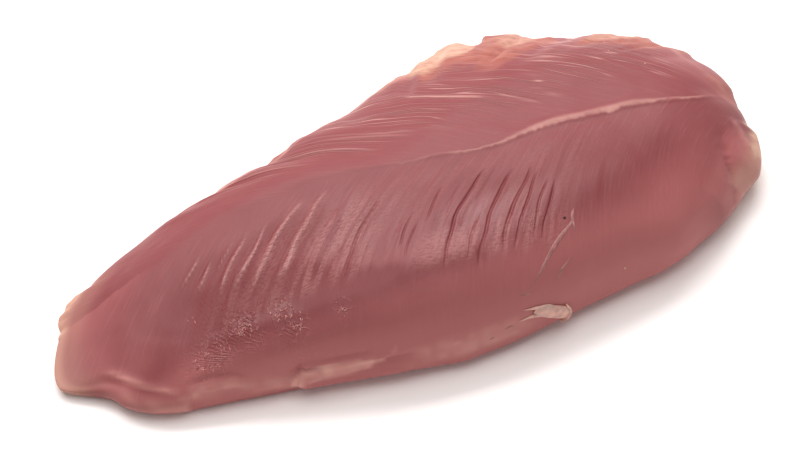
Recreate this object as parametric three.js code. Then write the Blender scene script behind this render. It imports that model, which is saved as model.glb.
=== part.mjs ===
// Raw turkey breast tenderloin: one boneless piece of meat lying on its flat side.
// Millimetres, +Z up. X runs along the piece, from the thin tail at -X to the thick head at +X.
// The origin is under the middle of the piece, on the surface that it lies on.
// The skin is a round sheet of meat stretched over an outline, rolled under at the rim and closed
// by a flat base. Shallow relief is then pushed in and out along the skin's own normals.
import * as THREE from "three";

const HALF_LENGTH = 112.5;
const HALF_WIDTH = 52.5;
const OUTLINE_CENTRE = new THREE.Vector2(0, -3);

// The widest line of the piece, counter-clockwise from the tail tip: x, y and its height above the table.
const OUTLINE = [
  [-112, -5, 3.0], [-103, -14, 3.5], [-91, -25.5, 4.0], [-70, -32, 4.0], [-48, -38, 4.0],
  [-22, -46.3, 4.5], [0, -52.3, 5.0], [28, -52.2, 6.0], [58, -51.2, 6.5], [84, -45, 7.0],
  [102, -32, 7.0], [109.8, -12, 8.0], [111, 2, 8.0], [102, 23, 8.0], [82, 36.2, 7.5],
  [58, 47, 6.5], [37, 51.5, 7.5], [9, 44.8, 7.0], [-27, 34.2, 6.5], [-58, 31.2, 6.0],
  [-80, 26.8, 5.0], [-96, 20, 3.5], [-107, 8.5, 3.0],
].map((point) => new THREE.Vector3(...point));
const OUTLINE_SAMPLES = 920;
// The inner skin keeps to an ellipse, a little smaller than the piece, and only the last of it near the
// rim follows the outline and its scraps.
const ELLIPSE_SHARE = 0.97;
const OUTLINE_DEPTH = 4;
const EDGE_PIECE_DEPTH = 24;

// Height of the crown above the table at stations along the length.
const CROWN = [
  [-113, 4], [-100, 8], [-80, 15], [-50, 22.5], [-10, 28.5], [30, 30.5], [65, 29.5], [95, 25.5], [113, 20],
].map(([x, height]) => new THREE.Vector2(x, height));
const LEAST_RISE = 0.5;

// Where the central tendon's seam runs across the top.
const SEAM = [
  [-113, 12], [-44, 11.5], [-20, 7.5], [0, 2.5], [14, -1.5], [28, -5], [48, -6.5], [76, -10.5], [92, -15.5],
  [104, -20], [113, -21.6],
].map(([x, y]) => new THREE.Vector2(x, y));

// How far in from the rim the meat rolls over, and how full that roll is, on each side of the piece.
const TOP_ROLL = { near: 22, far: 50, tail: 22, head: 32 };
const TOP_FULLNESS = { near: 2.1, far: 1.75, tail: 1.9, head: 2.1 };
const UNDER_ROLL = { near: 7, far: 11, tail: 8, head: 10 };

// Scraps, tags and lips that change the outline. Degrees run round the outline from +X, and each one
// goes from start to end with a ramp inside either end. Out is how far it stands out.
const EDGE_PIECES = {
  paleFatTag: { start: 64.5, end: 73.5, ramps: [2.5, 4.5], out: 4.6 },
  fatKnob: { start: 53, end: 64.5, ramps: [4.0, 2.5], out: 5.8 },
  trimmedFlap: { start: 28, end: 43.5, ramps: [2.0, 3.0], out: 1.9 },
  headFlap: { start: -37, end: -20, ramps: [5.0, 2.2], out: 2.2 },
  tailFringe: { start: 149, end: 163, ramps: [2.5, 4.0], out: 2.0 },
  tailLip: { start: -168, end: -146, ramps: [8.0, 1.6], out: 1.5 },
  longLip: { start: -127, end: -99, ramps: [1.6, 8.0], out: 1.3 },
};

// Folded lips low on the near wall: a bulge with a crease above it, at a height above the rim.
const LIPS = {
  tail: { start: -172, end: -146, ramps: [6.0, 1.8], bulge: 1.0, crease: 1.2, creaseAt: 3.6 },
  middle: { start: -146, end: -127, ramps: [1.8, 1.8], bulge: 0.4, crease: 0.5, creaseAt: 3.6 },
  long: { start: -128, end: -98, ramps: [1.8, 9.0], bulge: 1.1, crease: 1.1, creaseAt: 6.0 },
};
const LIP_HEIGHT = 1.5;
const LIP_HALF_HEIGHT = 2.4;
const CREASE_HALF_WIDTH = 1.3;

// The seam: a low ridge on its far side, and a step down to the near half.
const SEAM_RIDGE = { height: 0.8, at: 1.5, halfWidth: 1.7 };
const SEAM_STEP = { depth: 0.9, halfWidth: 1, fade: 11 };
const SEAM_SHOWS = [-25, 25, 84, 98];

// Muscle bundles lean back from the seam on both sides, as a share of the half length, less and less.
// The lean dies out towards both ends of the piece.
const BUNDLE_LEAN = { near: 0.5, far: 0.55 };
const LEAN_CURL = 0.6;
const LEAN_FADE = 1.5;
// Furrows between the bundles: where they show along the length and away from the seam.
const FURROWS = {
  near: { depth: 0.5, along: [-95, -80, 22, 34], away: [2, 7, 24, 34] },
  far: { depth: 0.22, along: [-60, -40, 70, 95], away: [5, 12, 34, 44] },
};
// Two waves across the bundles, which together make the furrows uneven. Turn is radians per bundle.
const FURROW_WAVES = [
  { share: 0.6, turn: 2.2, phase: 0 },
  { share: 0.4, turn: 0.9, phase: 1 },
];

// The end of a tendon, cut short, lying on the near wall.
const TENDON_END = { x: 20, halfLength: 5.5, above: 5, halfHeight: 2.2, height: 1.0 };

// The crease where the head's near corner is folded over.
const HEAD_CREASE = { degrees: -43, halfWidth: 1.8, above: [0, 3, 11, 15], depth: 0.7 };

// Slow unevenness of a soft piece of meat.
const SWELLS = [
  { length: 83, across: 71, phase: 0.6, height: 0.5 },
  { length: 47, across: 58, phase: 2.1, height: 0.3 },
];

// Heights above the rim over which the top's relief comes in.
const TOP_RELIEF_STARTS = [0.5, 6];

// Facets: a sheet of columns and rows over the middle, crowded towards the seam, then rings down the
// wall to the rim, and rings of the roll under it.
const COLUMNS = 92;
const ROWS = 32;
const ROW_CROWDING = 1.3;
const SHEET_SHARE = 0.88;
// How much of the rim the two ends of the sheet take up: less than half, as the piece is long.
const END_SHARE = 0.25;
const WALL_RINGS = 7;
const ROLL_RINGS = 3;

const SEAM_HALVINGS = 24;
const NORMAL_STEP = 1e-3;

const outlineCurve = new THREE.CatmullRomCurve3(OUTLINE, true, "catmullrom", 0.5);
const outline = Array.from({ length: OUTLINE_SAMPLES }, (_, i) => i / OUTLINE_SAMPLES)
  .map((along) => outlineCurve.getPoint(along))
  .map((point) => ({
    point,
    angle: Math.atan2(
      (point.y - OUTLINE_CENTRE.y) / HALF_WIDTH,
      (point.x - OUTLINE_CENTRE.x) / HALF_LENGTH,
    ),
  }))
  .sort((first, second) => first.angle - second.angle);

const smoothstep = (value, low, high) => {
  const t = THREE.MathUtils.clamp((value - low) / (high - low), 0, 1);
  return t * t * (3 - 2 * t);
};

const bell = (value, halfWidth) => Math.exp(-((value / halfWidth) ** 2));

// Rises over the first two stations and falls over the last two.
const between = (value, [start, full, waning, end]) =>
  smoothstep(value, start, full) * (1 - smoothstep(value, waning, end));

// A flat-topped window from start to end, in degrees, with its two ramps inside it.
const stretch = (degrees, { start, end, ramps }) =>
  between(degrees, [start, start + ramps[0], end - ramps[1], end]);

// A smooth curve through stations, as a function of x.
function alongStations(stations, x) {
  const last = stations.length - 1;
  const at = THREE.MathUtils.clamp(x, stations[0].x, stations[last].x);
  let i = 0;
  while (i < last - 1 && at > stations[i + 1].x) i += 1;
  const slope = (k) => {
    const before = stations[Math.max(k - 1, 0)];
    const after = stations[Math.min(k + 1, last)];
    return (after.y - before.y) / (after.x - before.x);
  };
  const span = stations[i + 1].x - stations[i].x;
  const t = (at - stations[i].x) / span;
  return (
    (2 * t ** 3 - 3 * t ** 2 + 1) * stations[i].y
    + (t ** 3 - 2 * t ** 2 + t) * span * slope(i)
    + (3 * t ** 2 - 2 * t ** 3) * stations[i + 1].y
    + (t ** 3 - t ** 2) * span * slope(i + 1)
  );
}

// Blends the four sides' values round the outline.
function roundSides(sides, angle) {
  const along = Math.cos(angle);
  const across = Math.sin(angle);
  return (
    (across < 0 ? sides.near : sides.far) * across ** 2
    + (along < 0 ? sides.tail : sides.head) * along ** 2
  );
}

// The outline at an angle, before its scraps and tags.
function plainRim(angle) {
  let low = 0;
  let high = outline.length;
  while (low < high) {
    const middle = (low + high) >> 1;
    if (outline[middle].angle < angle) low = middle + 1;
    else high = middle;
  }
  const after = outline[low % outline.length];
  const before = outline[(low + outline.length - 1) % outline.length];
  const turn = (value) => THREE.MathUtils.euclideanModulo(value, 2 * Math.PI);
  const share = turn(angle - before.angle) / turn(after.angle - before.angle);
  return before.point.clone().lerp(after.point, Math.min(share, 1));
}

// How far in from the rim the whole radius share is worth, in millimetres.
const inwardScale = (angle) =>
  1 / Math.hypot(Math.cos(angle) / HALF_LENGTH, Math.sin(angle) / HALF_WIDTH);

// The plan position at an angle and a radius share: an ellipse in the middle, the true outline at the rim.
function planPoint(angle, share) {
  const degrees = THREE.MathUtils.radToDeg(angle);
  const [along, across] = [Math.cos(angle), Math.sin(angle)];
  const ellipse = new THREE.Vector2(HALF_LENGTH * along, HALF_WIDTH * across).multiplyScalar(ELLIPSE_SHARE);
  const rim = plainRim(angle);
  const beyond = new THREE.Vector2(rim.x, rim.y).sub(OUTLINE_CENTRE).sub(ellipse);
  const place = OUTLINE_CENTRE.clone().addScaledVector(ellipse, share)
    .addScaledVector(beyond, share ** OUTLINE_DEPTH);
  const outward = new THREE.Vector2(along / HALF_LENGTH, across / HALF_WIDTH).normalize();
  for (const piece of Object.values(EDGE_PIECES)) {
    place.addScaledVector(outward, piece.out * stretch(degrees, piece) * share ** EDGE_PIECE_DEPTH);
  }
  return place;
}

// The top skin without its relief.
function topPoint(angle, share) {
  const place = planPoint(angle, share);
  const inward = Math.min(((1 - share) * inwardScale(angle)) / roundSides(TOP_ROLL, angle), 1);
  const fullness = roundSides(TOP_FULLNESS, angle);
  const roll = (1 - (1 - inward) ** fullness) ** (1 / fullness);
  const low = plainRim(angle).z;
  const rise = Math.max(alongStations(CROWN, place.x) - low, LEAST_RISE);
  return new THREE.Vector3(place.x, place.y, low + rise * roll);
}

// The roll under the rim, from the rim at 0 to the flat base at 1.
function underPoint({ angle }, down) {
  const turn = (down * Math.PI) / 2;
  const inward = roundSides(UNDER_ROLL, angle) * (1 - Math.cos(turn));
  const place = planPoint(angle, 1 - inward / inwardScale(angle));
  return new THREE.Vector3(place.x, place.y, plainRim(angle).z * (1 - Math.sin(turn)));
}

function seamRelief(x, offSeam) {
  const ridge = SEAM_RIDGE.height * bell(offSeam - SEAM_RIDGE.at, SEAM_RIDGE.halfWidth);
  const nearSide = 1 - smoothstep(offSeam, -SEAM_STEP.halfWidth, SEAM_STEP.halfWidth);
  const step = SEAM_STEP.depth * nearSide * Math.exp(-Math.abs(offSeam) / SEAM_STEP.fade);
  return between(x, SEAM_SHOWS) * (ridge - step);
}

// Uneven furrows that follow the bundles, one line of facets each.
function furrowRelief(bundle, x, offSeam) {
  const side = offSeam < 0 ? FURROWS.near : FURROWS.far;
  const wave = FURROW_WAVES.reduce((sum, { share, turn, phase }) =>
    sum + share * Math.sin(turn * bundle + phase), 0);
  return side.depth * wave * between(x, side.along) * between(Math.abs(offSeam), side.away);
}

function lipRelief(degrees, aboveRim) {
  return Object.values(LIPS).reduce((sum, lip) => {
    const bulge = lip.bulge * bell(aboveRim - LIP_HEIGHT, LIP_HALF_HEIGHT);
    const crease = lip.crease * bell(aboveRim - lip.creaseAt, CREASE_HALF_WIDTH);
    return sum + stretch(degrees, lip) * (bulge - crease);
  }, 0);
}

function tendonEndRelief(x, aboveRim) {
  const { x: middle, halfLength, above, halfHeight, height } = TENDON_END;
  return height * bell(x - middle, halfLength) * bell(aboveRim - above, halfHeight);
}

function headCreaseRelief(degrees, aboveRim) {
  const across = bell(degrees - HEAD_CREASE.degrees, HEAD_CREASE.halfWidth);
  return -HEAD_CREASE.depth * across * between(aboveRim, HEAD_CREASE.above);
}

function swellRelief(x, y) {
  return SWELLS.reduce((sum, { length, across, phase, height }) => {
    const wave = Math.sin((2 * Math.PI * x) / length + phase);
    return sum + height * wave * Math.cos((2 * Math.PI * y) / across + phase);
  }, 0);
}

// How far the skin is pushed out at a point, on a given bundle and at a given angle round the outline.
function relief(point, angle, bundle) {
  const { x, y, z } = point;
  const offSeam = y - alongStations(SEAM, x);
  const aboveRim = z - plainRim(angle).z;
  const onTop = smoothstep(aboveRim, ...TOP_RELIEF_STARTS);
  const top = seamRelief(x, offSeam) + furrowRelief(bundle, x, offSeam) + swellRelief(x, y);
  const degrees = THREE.MathUtils.radToDeg(angle);
  const tendon = angle < 0 ? tendonEndRelief(x, aboveRim) : 0;
  return top * onTop + tendon + headCreaseRelief(degrees, aboveRim) + lipRelief(degrees, aboveRim);
}

// Which way the plain top skin faces.
function topNormal(angle, share) {
  const from = Math.max(share, NORMAL_STEP);
  const outward = topPoint(angle, from).sub(topPoint(angle, from - NORMAL_STEP));
  const around = topPoint(angle + NORMAL_STEP, from).sub(topPoint(angle - NORMAL_STEP, from));
  return outward.cross(around).normalize();
}

// The top skin with its relief.
function skinPoint({ angle, bundle }, share) {
  const point = topPoint(angle, share);
  return point.addScaledVector(topNormal(angle, share), relief(point, angle, bundle));
}

// Rounds a place on a square sheet, -1 to 1 both ways, to an angle and a share of the radius.
function roundPlace(along, across) {
  const x = along * Math.sqrt(1 - END_SHARE * across ** 2);
  const y = across * Math.sqrt(1 - (1 - END_SHARE) * along ** 2);
  const reach = Math.min(Math.hypot(x, y), 1);
  return { angle: Math.atan2(y, x), share: SHEET_SHARE * reach };
}

// Where across the square sheet the seam lies.
function seamRow(along) {
  let near = -1;
  let far = 1;
  for (let halving = 0; halving < SEAM_HALVINGS; halving += 1) {
    const middle = (near + far) / 2;
    const { angle, share } = roundPlace(along, middle);
    const place = planPoint(angle, share);
    if (place.y < alongStations(SEAM, place.x)) near = middle;
    else far = middle;
  }
  return (near + far) / 2;
}

// A place on the sheet, whose columns follow the muscle bundles and whose middle row follows the seam.
function sheetPlace(column, row) {
  const away = Math.abs(row) ** ROW_CROWDING;
  const lean = (row < 0 ? BUNDLE_LEAN.near : BUNDLE_LEAN.far) * (1 - column ** 2) ** LEAN_FADE;
  const along = column - lean * away * (1 - LEAN_CURL * away);
  const seam = seamRow(along);
  return roundPlace(along, seam + (row < 0 ? -(1 + seam) : 1 - seam) * away);
}

// The skin over the middle of the piece, and the ring of points round its edge.
function topSheet() {
  const points = [];
  const places = [];
  const faces = [];
  const index = (i, j) => j * (COLUMNS + 1) + i;
  for (let j = 0; j <= ROWS; j += 1) {
    for (let i = 0; i <= COLUMNS; i += 1) {
      const { angle, share } = sheetPlace((2 * i) / COLUMNS - 1, (2 * j) / ROWS - 1);
      places.push({ angle, bundle: i });
      points.push(skinPoint(places.at(-1), share));
    }
  }
  for (let j = 0; j < ROWS; j += 1) {
    for (let i = 0; i < COLUMNS; i += 1) {
      const [nearTail, nearHead] = [index(i, j), index(i + 1, j)];
      const [farTail, farHead] = [index(i, j + 1), index(i + 1, j + 1)];
      if (j < ROWS / 2) faces.push(nearTail, nearHead, farTail, nearHead, farHead, farTail);
      else faces.push(nearTail, nearHead, farHead, nearTail, farHead, farTail);
    }
  }
  const along = Array.from({ length: COLUMNS }, (_, i) => i);
  const across = Array.from({ length: ROWS }, (_, j) => j);
  const edge = [
    ...along.map((i) => index(i, 0)),
    ...across.map((j) => index(COLUMNS, j)),
    ...along.map((i) => index(COLUMNS - i, ROWS)),
    ...across.map((j) => index(0, ROWS - j)),
  ];
  return { points, places, faces, edge };
}

// Carries the skin on from its edge by some rings, to where pointAt puts them.
function addRings(skin, count, pointAt) {
  const { points, places, faces } = skin;
  for (let level = 1; level <= count; level += 1) {
    const ring = skin.edge;
    const next = ring.map((upper) => {
      places.push(places[upper]);
      return points.push(pointAt(places[upper], level / count)) - 1;
    });
    ring.forEach((upper, k) => {
      const after = (k + 1) % ring.length;
      faces.push(upper, next[k], next[after], upper, next[after], ring[after]);
    });
    skin.edge = next;
  }
}

function addBase({ points, faces, edge }) {
  const base = edge.map((k) => new THREE.Vector2(points[k].x, points[k].y));
  THREE.ShapeUtils.triangulateShape(base, []).forEach(([a, b, c]) => faces.push(edge[a], edge[c], edge[b]));
}

function buildFillet() {
  const skin = topSheet();
  addRings(skin, WALL_RINGS, (place, down) => skinPoint(place, 1 - (1 - SHEET_SHARE) * (1 - down) ** 2));
  addRings(skin, ROLL_RINGS, underPoint);
  addBase(skin);
  const geometry = new THREE.BufferGeometry().setFromPoints(skin.points);
  geometry.setIndex(skin.faces);
  geometry.computeBoundingBox();
  const middle = geometry.boundingBox.getCenter(new THREE.Vector3());
  geometry.translate(-middle.x, -middle.y, 0);
  geometry.computeVertexNormals();
  return geometry;
}

const rawMeat = new THREE.MeshStandardMaterial({ color: 0xa9686a, roughness: 0.4, metalness: 0 });
const fillet = new THREE.Mesh(buildFillet(), rawMeat);
fillet.name = "fillet";

const tenderloin = new THREE.Group();
tenderloin.add(fillet);
export default tenderloin;
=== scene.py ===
"""A raw turkey breast tenderloin, lying on a pale table under soft light.

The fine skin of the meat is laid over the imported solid, from the same outline, crown and seam. It is a
round sheet whose columns lean along the muscle bundles, rolled under at the rim. Shapes are worked out in
millimetres, with the tail at -X and the head at +X, and meshes are made in metres.
"""

import math

import bpy
import numpy as np
from bpy.props import FloatProperty, FloatVectorProperty, PointerProperty
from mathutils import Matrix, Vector
from mathutils.bvhtree import BVHTree


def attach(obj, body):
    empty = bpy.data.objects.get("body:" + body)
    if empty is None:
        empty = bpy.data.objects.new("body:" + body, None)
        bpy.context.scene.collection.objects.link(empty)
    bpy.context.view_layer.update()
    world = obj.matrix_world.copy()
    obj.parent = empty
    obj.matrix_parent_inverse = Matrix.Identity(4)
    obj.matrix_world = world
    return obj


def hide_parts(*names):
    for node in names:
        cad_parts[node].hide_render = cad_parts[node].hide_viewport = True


bl_info = {
    "name": "Turkey Tenderloin",
    "version": (1, 0, 0),
    "blender": (4, 5, 0),
    "location": "View3D > Sidebar > Tenderloin",
    "description": "Builds a raw turkey breast tenderloin with its tendon, fat and torn membranes",
    "category": "Object",
}

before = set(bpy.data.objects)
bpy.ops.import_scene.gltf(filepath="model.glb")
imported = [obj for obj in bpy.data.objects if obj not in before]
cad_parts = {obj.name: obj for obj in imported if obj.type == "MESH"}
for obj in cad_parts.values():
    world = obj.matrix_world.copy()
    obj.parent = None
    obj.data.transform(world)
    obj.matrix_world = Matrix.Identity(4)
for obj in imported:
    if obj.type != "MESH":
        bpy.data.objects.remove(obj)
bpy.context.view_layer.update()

MM = 0.001
SEED = 7

# The shape of the solid, in its own outline's frame.
HALF_LENGTH = 112.5
HALF_WIDTH = 52.5
OUTLINE_CENTRE = np.array([0.0, -3.0])
OUTLINE = np.array([
    [-112, -5, 3.0], [-103, -14, 3.5], [-91, -25.5, 4.0], [-70, -32, 4.0], [-48, -38, 4.0],
    [-22, -46.3, 4.5], [0, -52.3, 5.0], [28, -52.2, 6.0], [58, -51.2, 6.5], [84, -45, 7.0],
    [102, -32, 7.0], [109.8, -12, 8.0], [111, 2, 8.0], [102, 23, 8.0], [82, 36.2, 7.5],
    [58, 47, 6.5], [37, 51.5, 7.5], [9, 44.8, 7.0], [-27, 34.2, 6.5], [-58, 31.2, 6.0],
    [-80, 26.8, 5.0], [-96, 20, 3.5], [-107, 8.5, 3.0],
])
SPAN_STEPS = 40
ELLIPSE_SHARE = 0.97
OUTLINE_DEPTH = 4
EDGE_PIECE_DEPTH = 24
CROWN = np.array([
    [-113, 4], [-100, 8], [-80, 15], [-50, 22.5], [-10, 28.5], [30, 30.5], [65, 29.5], [95, 25.5],
    [113, 20],
])
LEAST_RISE = 0.5
# Where the bundles of both halves spring from, and the seam that shows between them.
BUNDLE_ROOTS = np.array([
    [-113, 12], [-44, 11.5], [-20, 7.5], [0, 2.5], [14, -1.5], [28, -5], [48, -6.5], [76, -10.5],
    [92, -15.5], [104, -20], [113, -21.6],
])
SEAM = np.array([
    [-113, 12], [-48, 14], [-28, 11.6], [-13.6, 7.9], [0, 2.5], [8, -0.4], [16, -3], [25, -5.6],
    [34, -6.1], [43, -6.3], [57, -8.7], [70, -10.2], [81, -12.8], [90, -13.7], [99, -12.9], [113, -12],
])
TOP_ROLL = {"near": 22, "far": 50, "tail": 22, "head": 32}
TOP_FULLNESS = {"near": 2.1, "far": 1.75, "tail": 1.9, "head": 2.1}
UNDER_ROLL = {"near": 8, "far": 11, "tail": 4.5, "head": 9}
# Scraps and swells that change the outline: start and end in degrees, the ramps inside them, and how far
# they stand out.
EDGE_PIECES = {
    "pale_fat_tag": (64.5, 73.5, (2.5, 4.5), 4.6),
    "fat_knob": (53, 64.5, (4.0, 2.5), 5.8),
    "trimmed_flap": (28, 43.5, (2.0, 3.0), 1.9),
    "head_flap": (-41, -20, (7.0, 2.2), 2.0),
    "tail_fringe": (149, 163, (2.5, 4.0), 2.0),
    "tail_tuck": (-179, -160, (6.0, 7.0), -1.3),
    "tail_lip": (-166, -146, (9.0, 1.6), 0.6),
    "long_lip": (-127, -99, (1.6, 8.0), 1.3),
    "wall_swell": (-106, -90, (6.0, 6.0), 1.3),
    "head_swell": (-66, -53, (5.0, 5.0), 0.9),
}

# Folded lips low on the near wall: start, end, ramps, bulge, crease and the height of the crease.
LIPS = {
    "tail": (-172, -146, (6.0, 1.8), 0.5, 0.0, 3.6),
    "middle": (-146, -127, (1.8, 1.8), 0.5, 0.4, 3.8),
    "long": (-128, -98, (1.8, 9.0), 1.1, 0.9, 6.0),
}
LIP_HEIGHT = 1.5
LIP_HALF_HEIGHT = 2.4
CREASE_HALF_WIDTH = 0.9
# Slow swells of the skin: length along and across the piece, phase and height.
SWELLS = ((83, 71, 0.6, 0.5), (47, 58, 2.1, 0.3))
# The seam shows between these places along the piece, and its pale tendon stands up in the middle of them.
SEAM_SHOWS = (-45, 25, 96, 108)
TENDON_STANDS = (18, 44, 68, 88)
TENDON_SHOWS = (-12, 40, 80, 112)
TENDON_BROAD = (22, 52, 60, 88)

# Grooves between the bundles of the near half: their place across the bundles, where they start and end away
# from the seam, their half width and their depth.
NEAR_GROOVES = (
    (2.6, 10, 35, 0.5, 0.5), (-1.5, 18, 33, 0.4, 0.3), (16.5, 18, 32, 0.3, 0.3),
    (19.4, 22, 36, 0.3, 0.3), (21.4, 11, 26, 0.3, 0.3), (30.3, 8, 42, 0.38, 0.45),
    (36.7, 24, 41, 0.3, 0.3), (39.6, 10, 44, 0.4, 0.45), (45.6, 11, 40, 0.45, 0.5),
    (48.8, 13, 40, 0.33, 0.4), (53.2, 17, 38, 0.35, 0.35), (56.0, 19, 38, 0.35, 0.4),
)
# Raised bundles on the tail side of the near half, with wide hollows between them.
NEAR_RIDGES = (
    (-8, 9, 30, 2.0, 0.3), (-18, 2, 27, 1.2, 0.6), (-25.8, 3, 27, 1.2, 0.6), (-32.8, 5, 23, 0.8, 0.5),
    (-38.4, 6, 22, 0.6, 0.5), (-43.5, 7, 14, 0.35, 0.25), (-47.6, 9, 17, 0.5, 0.35),
    (-54.6, 6, 13, 0.5, 0.35),
)
# How far the lines of each kind wander, and their waves: length, size and phase from line to line.
GROOVE_WANDER = 0.5
RIDGE_WANDER = 0.9
FOLD_WANDER = 0.8
MINOR_WANDER = 0.4
WANDER_WAVES = ((4.5, 0.6, 3.7), (1.9, 0.3, 2.3))
# The heights at which grooves and folds have their full colour (painted shade in the grooves), and how many
# half widths it reaches out.
FULL_GROOVE = 0.45
FULL_FOLD = 0.4
COLOUR_REACH = 1.7
# Pale folds of the far half, in the same terms.
FAR_FOLDS = (
    (9.5, 7, 26, 1.0, 0.4), (-4.5, 8, 22, 0.7, 0.4), (-11, 8, 20, 0.7, 0.35), (21, 9, 21, 0.9, 0.2),
    (24.8, 10, 18, 0.9, 0.2),
)
# Lines on the skin: their points, half width, and height above the skin, or depth below it where negative.
TRACES = {
    "tail_fold": (((-103.5, -6.3, 7.2), (-98.4, -10.4, 8), (-94.8, -15.7, 8.4), (-92.7, -19.2, 8.8),
                   (-90.2, -22.3, 9.4), (-86.8, -25.5, 9.5), (-83.5, -28, 8.4)), 0.9, 0.55),
    "tail_hollow": (((-107.2, -8.5, 4.8), (-100.9, -10.9, 6.2), (-98.6, -13.1, 6.4), (-96, -16, 6.5)),
                    1.0, -0.4),
    "head_crease": (((92.3, -24.6, 21), (91.1, -28.2, 20.6), (89.4, -31.8, 20), (88.5, -34.9, 18.6),
                     (88.5, -38.2, 16), (87.6, -41, 12.6), (87.8, -42.5, 9)), 0.9, -0.7),
    "head_fold": (((96, -25, 18.6), (94.6, -29, 17.8), (93.2, -33, 16.6), (92, -37, 14.4)), 2.0, 0.5),
    "flap_edge": (((99.7, -23, 17.2), (99.2, -27.4, 16.2), (99.6, -31.1, 14), (99.3, -34.5, 11.8)),
                  0.9, 0.7),
    "lower_crease": (((86, -35.5, 18.6), (86.3, -38.9, 15.1), (86.6, -41.8, 11.2), (86.5, -43.8, 7.5)),
                     1.0, -0.45),
    "pale_lip": (((-54.5, -37, 5.5), (-52.5, -37.6, 7.8), (-48, -38.8, 9.0), (-42.3, -40.5, 9.2),
                  (-36, -42.6, 9.6), (-31, -43.8, 11.2), (-27.5, -44.4, 13.6)), 1.1, 0.9),
    "pale_lip_body": (((-58, -36, 5), (-54.5, -37, 6), (-51, -37.9, 8.2), (-47, -39.1, 8.8),
                       (-42.3, -40.5, 9), (-36, -42.6, 9.2)), 1.7, 0.7),
    "pale_lip_crease": (((-55.5, -36, 8), (-53.5, -35.8, 11), (-50, -36.3, 12.6), (-42.4, -39.2, 12.7),
                         (-36, -41.6, 13), (-31.5, -42.4, 15)), 0.8, -0.4),
    "faint_lip": (((-81, -28, 8), (-76, -29.4, 8.8), (-70.5, -30.8, 8.9), (-63.9, -33.2, 7.2),
                   (-56, -36, 6.2)), 1.6, 0.7),
    "faint_lip_crease": (((-82, -26.2, 10.6), (-76, -27.6, 12), (-70.5, -29.4, 12), (-65, -31.8, 10.4)),
                         0.7, -0.4),
    "lower_fold": (((67.5, -46.6, 18), (73.9, -44.9, 17.1), (81.6, -41.6, 16.1)), 1.2, 0.35),
}

# The crest of the far edge: degrees round the outline, and how far in from the rim it lies.
FAR_CREST = np.array([
    [-24, 2], [-16, 3.7], [-8, 7.6], [0, 11], [10, 10.4], [20, 7], [29, 6], [36, 9], [43, 11.4],
    [52, 10], [60, 5], [67, 4], [76, 8], [82, 7], [89, 10], [100, 12], [112, 16], [124, 14],
    [131, 10], [137, 5], [146, 2],
])
# Dips and bulges of that crest: their place in degrees, half width and height.
CREST_WAVES = (
    (134, 3, 0.5), (124.5, 2.4, -0.95), (112.5, 3.8, -0.95), (102, 3.5, 0.5), (89, 4, -1.2), (81, 1.5, -0.3),
    (75.8, 1.4, -1.3), (70.2, 1.3, -1.0), (56.3, 1.2, -1.2), (45, 2.5, -0.75), (35.5, 3.2, -0.8),
    (27.5, 2.5, -0.4), (23, 1.6, -1.1), (11.5, 4, -0.55), (-10, 4, -0.6),
)
# How far in over that crest the fat reaches, and between which degrees.
SALMON_FAT = (
    (11, (60, 63, 71, 76)), (14, (45, 52, 59, 64)), (7, (16, 21, 36, 41)), (2, (72, 75, 80, 86)),
    (2, (-16, -11, -4, 2)),
)
CREAM_FAT = ((5, (63, 65.5, 72, 77)), (0.8, (50, 54, 58, 62)), (0.8, (28, 31, 38, 41)))

# Pale patches along the rim: how pale, their start and end in degrees, the ramps inside them, and over which
# distances in from the rim, or from the far edge's crest, they fade out.
RIM_PATCHES = {
    "far_fat": (0.9, 96, 111, (3, 3), (-5, -2.6)),
    "tag_end": (0.75, 73, 90, (2, 6), (-4.5, -2.2)),
    "flap_end": (0.8, 20, 27.5, (3, 2), (-3.5, -1.5)),
    "tail_fringe": (0.8, 147, 165, (3, 3), (0.4, 2.0)),
    "head_tag": (1, -33, -18, (2.5, 4), (0.8, 2.8)),
    "thin_flap": (0.75, -43, -21, (3, 6), (0.5, 4.5)),
    # Painted light on the head flap's wall, which lies in shade.
    "flap_wall_painted_light": (0.6, -52, -23, (5, 8), (3.5, 10)),
    # Painted light on the head flap's lip, which lies in shade.
    "flap_lip_painted_light": (0.5, -43.5, -35, (1.5, 4), (0.8, 3.5)),
    "head_lip": (0.4, -50, -26, (10, 4), (0.2, 2.4)),
    "tongue_tip": (0.5, -151, -146.5, (4, 0.8), (1.5, 3.2)),
}

# Fields of the skin that its relief and its finish follow: how strongly, then where along the piece or
# across the bundles, and how far from the seam.
SKIN_FIELDS = {
    "near_fibres": (1, (-70, -40, 40, 60), (1, 7, 28, 42)),
    "far_fibres": (0.55, (-70, -45, 80, 104), (5, 12, 34, 44)),
    "crinkled_tail": (1, (-52, -28, 3, 13), (6, 14, 31, 38)),
    "crinkled_low": (0.8, (16, 28, 56, 66), (25, 31, 37, 42)),
    "crinkled_all": (0.25, (-70, -35, 58, 72), (2, 9, 29, 36)),
    # Painted shade lies in the hollows between the raised bundles.
    "hollows": (1, (-64, -52, -14, -9), (5, 12, 30, 38)),
    "wet_shoulder": (0.62, (-20, -8, 50, 60), (6, 15, 23, 29)),
    # Painted shade: under the seam towards the head, and in the middle of the near half.
    "painted_shade_head": (0.5, (6, 28, 68, 84), (5, 20, 30, 40)),
    "painted_shade_middle": (0.32, (2, 14, 30, 42), (6, 13, 26, 34)),
}
# Patches low on the near half where the thin membrane is torn: place, length and depth.
TORN_PATCHES = (
    (-72.5, -23.6, 7.5, 3.6), (-62, -22.5, 4.2, 5.2), (-51.3, -27.5, 3.8, 7.5), (-37.5, -32.5, 2, 2.5),
)

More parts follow.
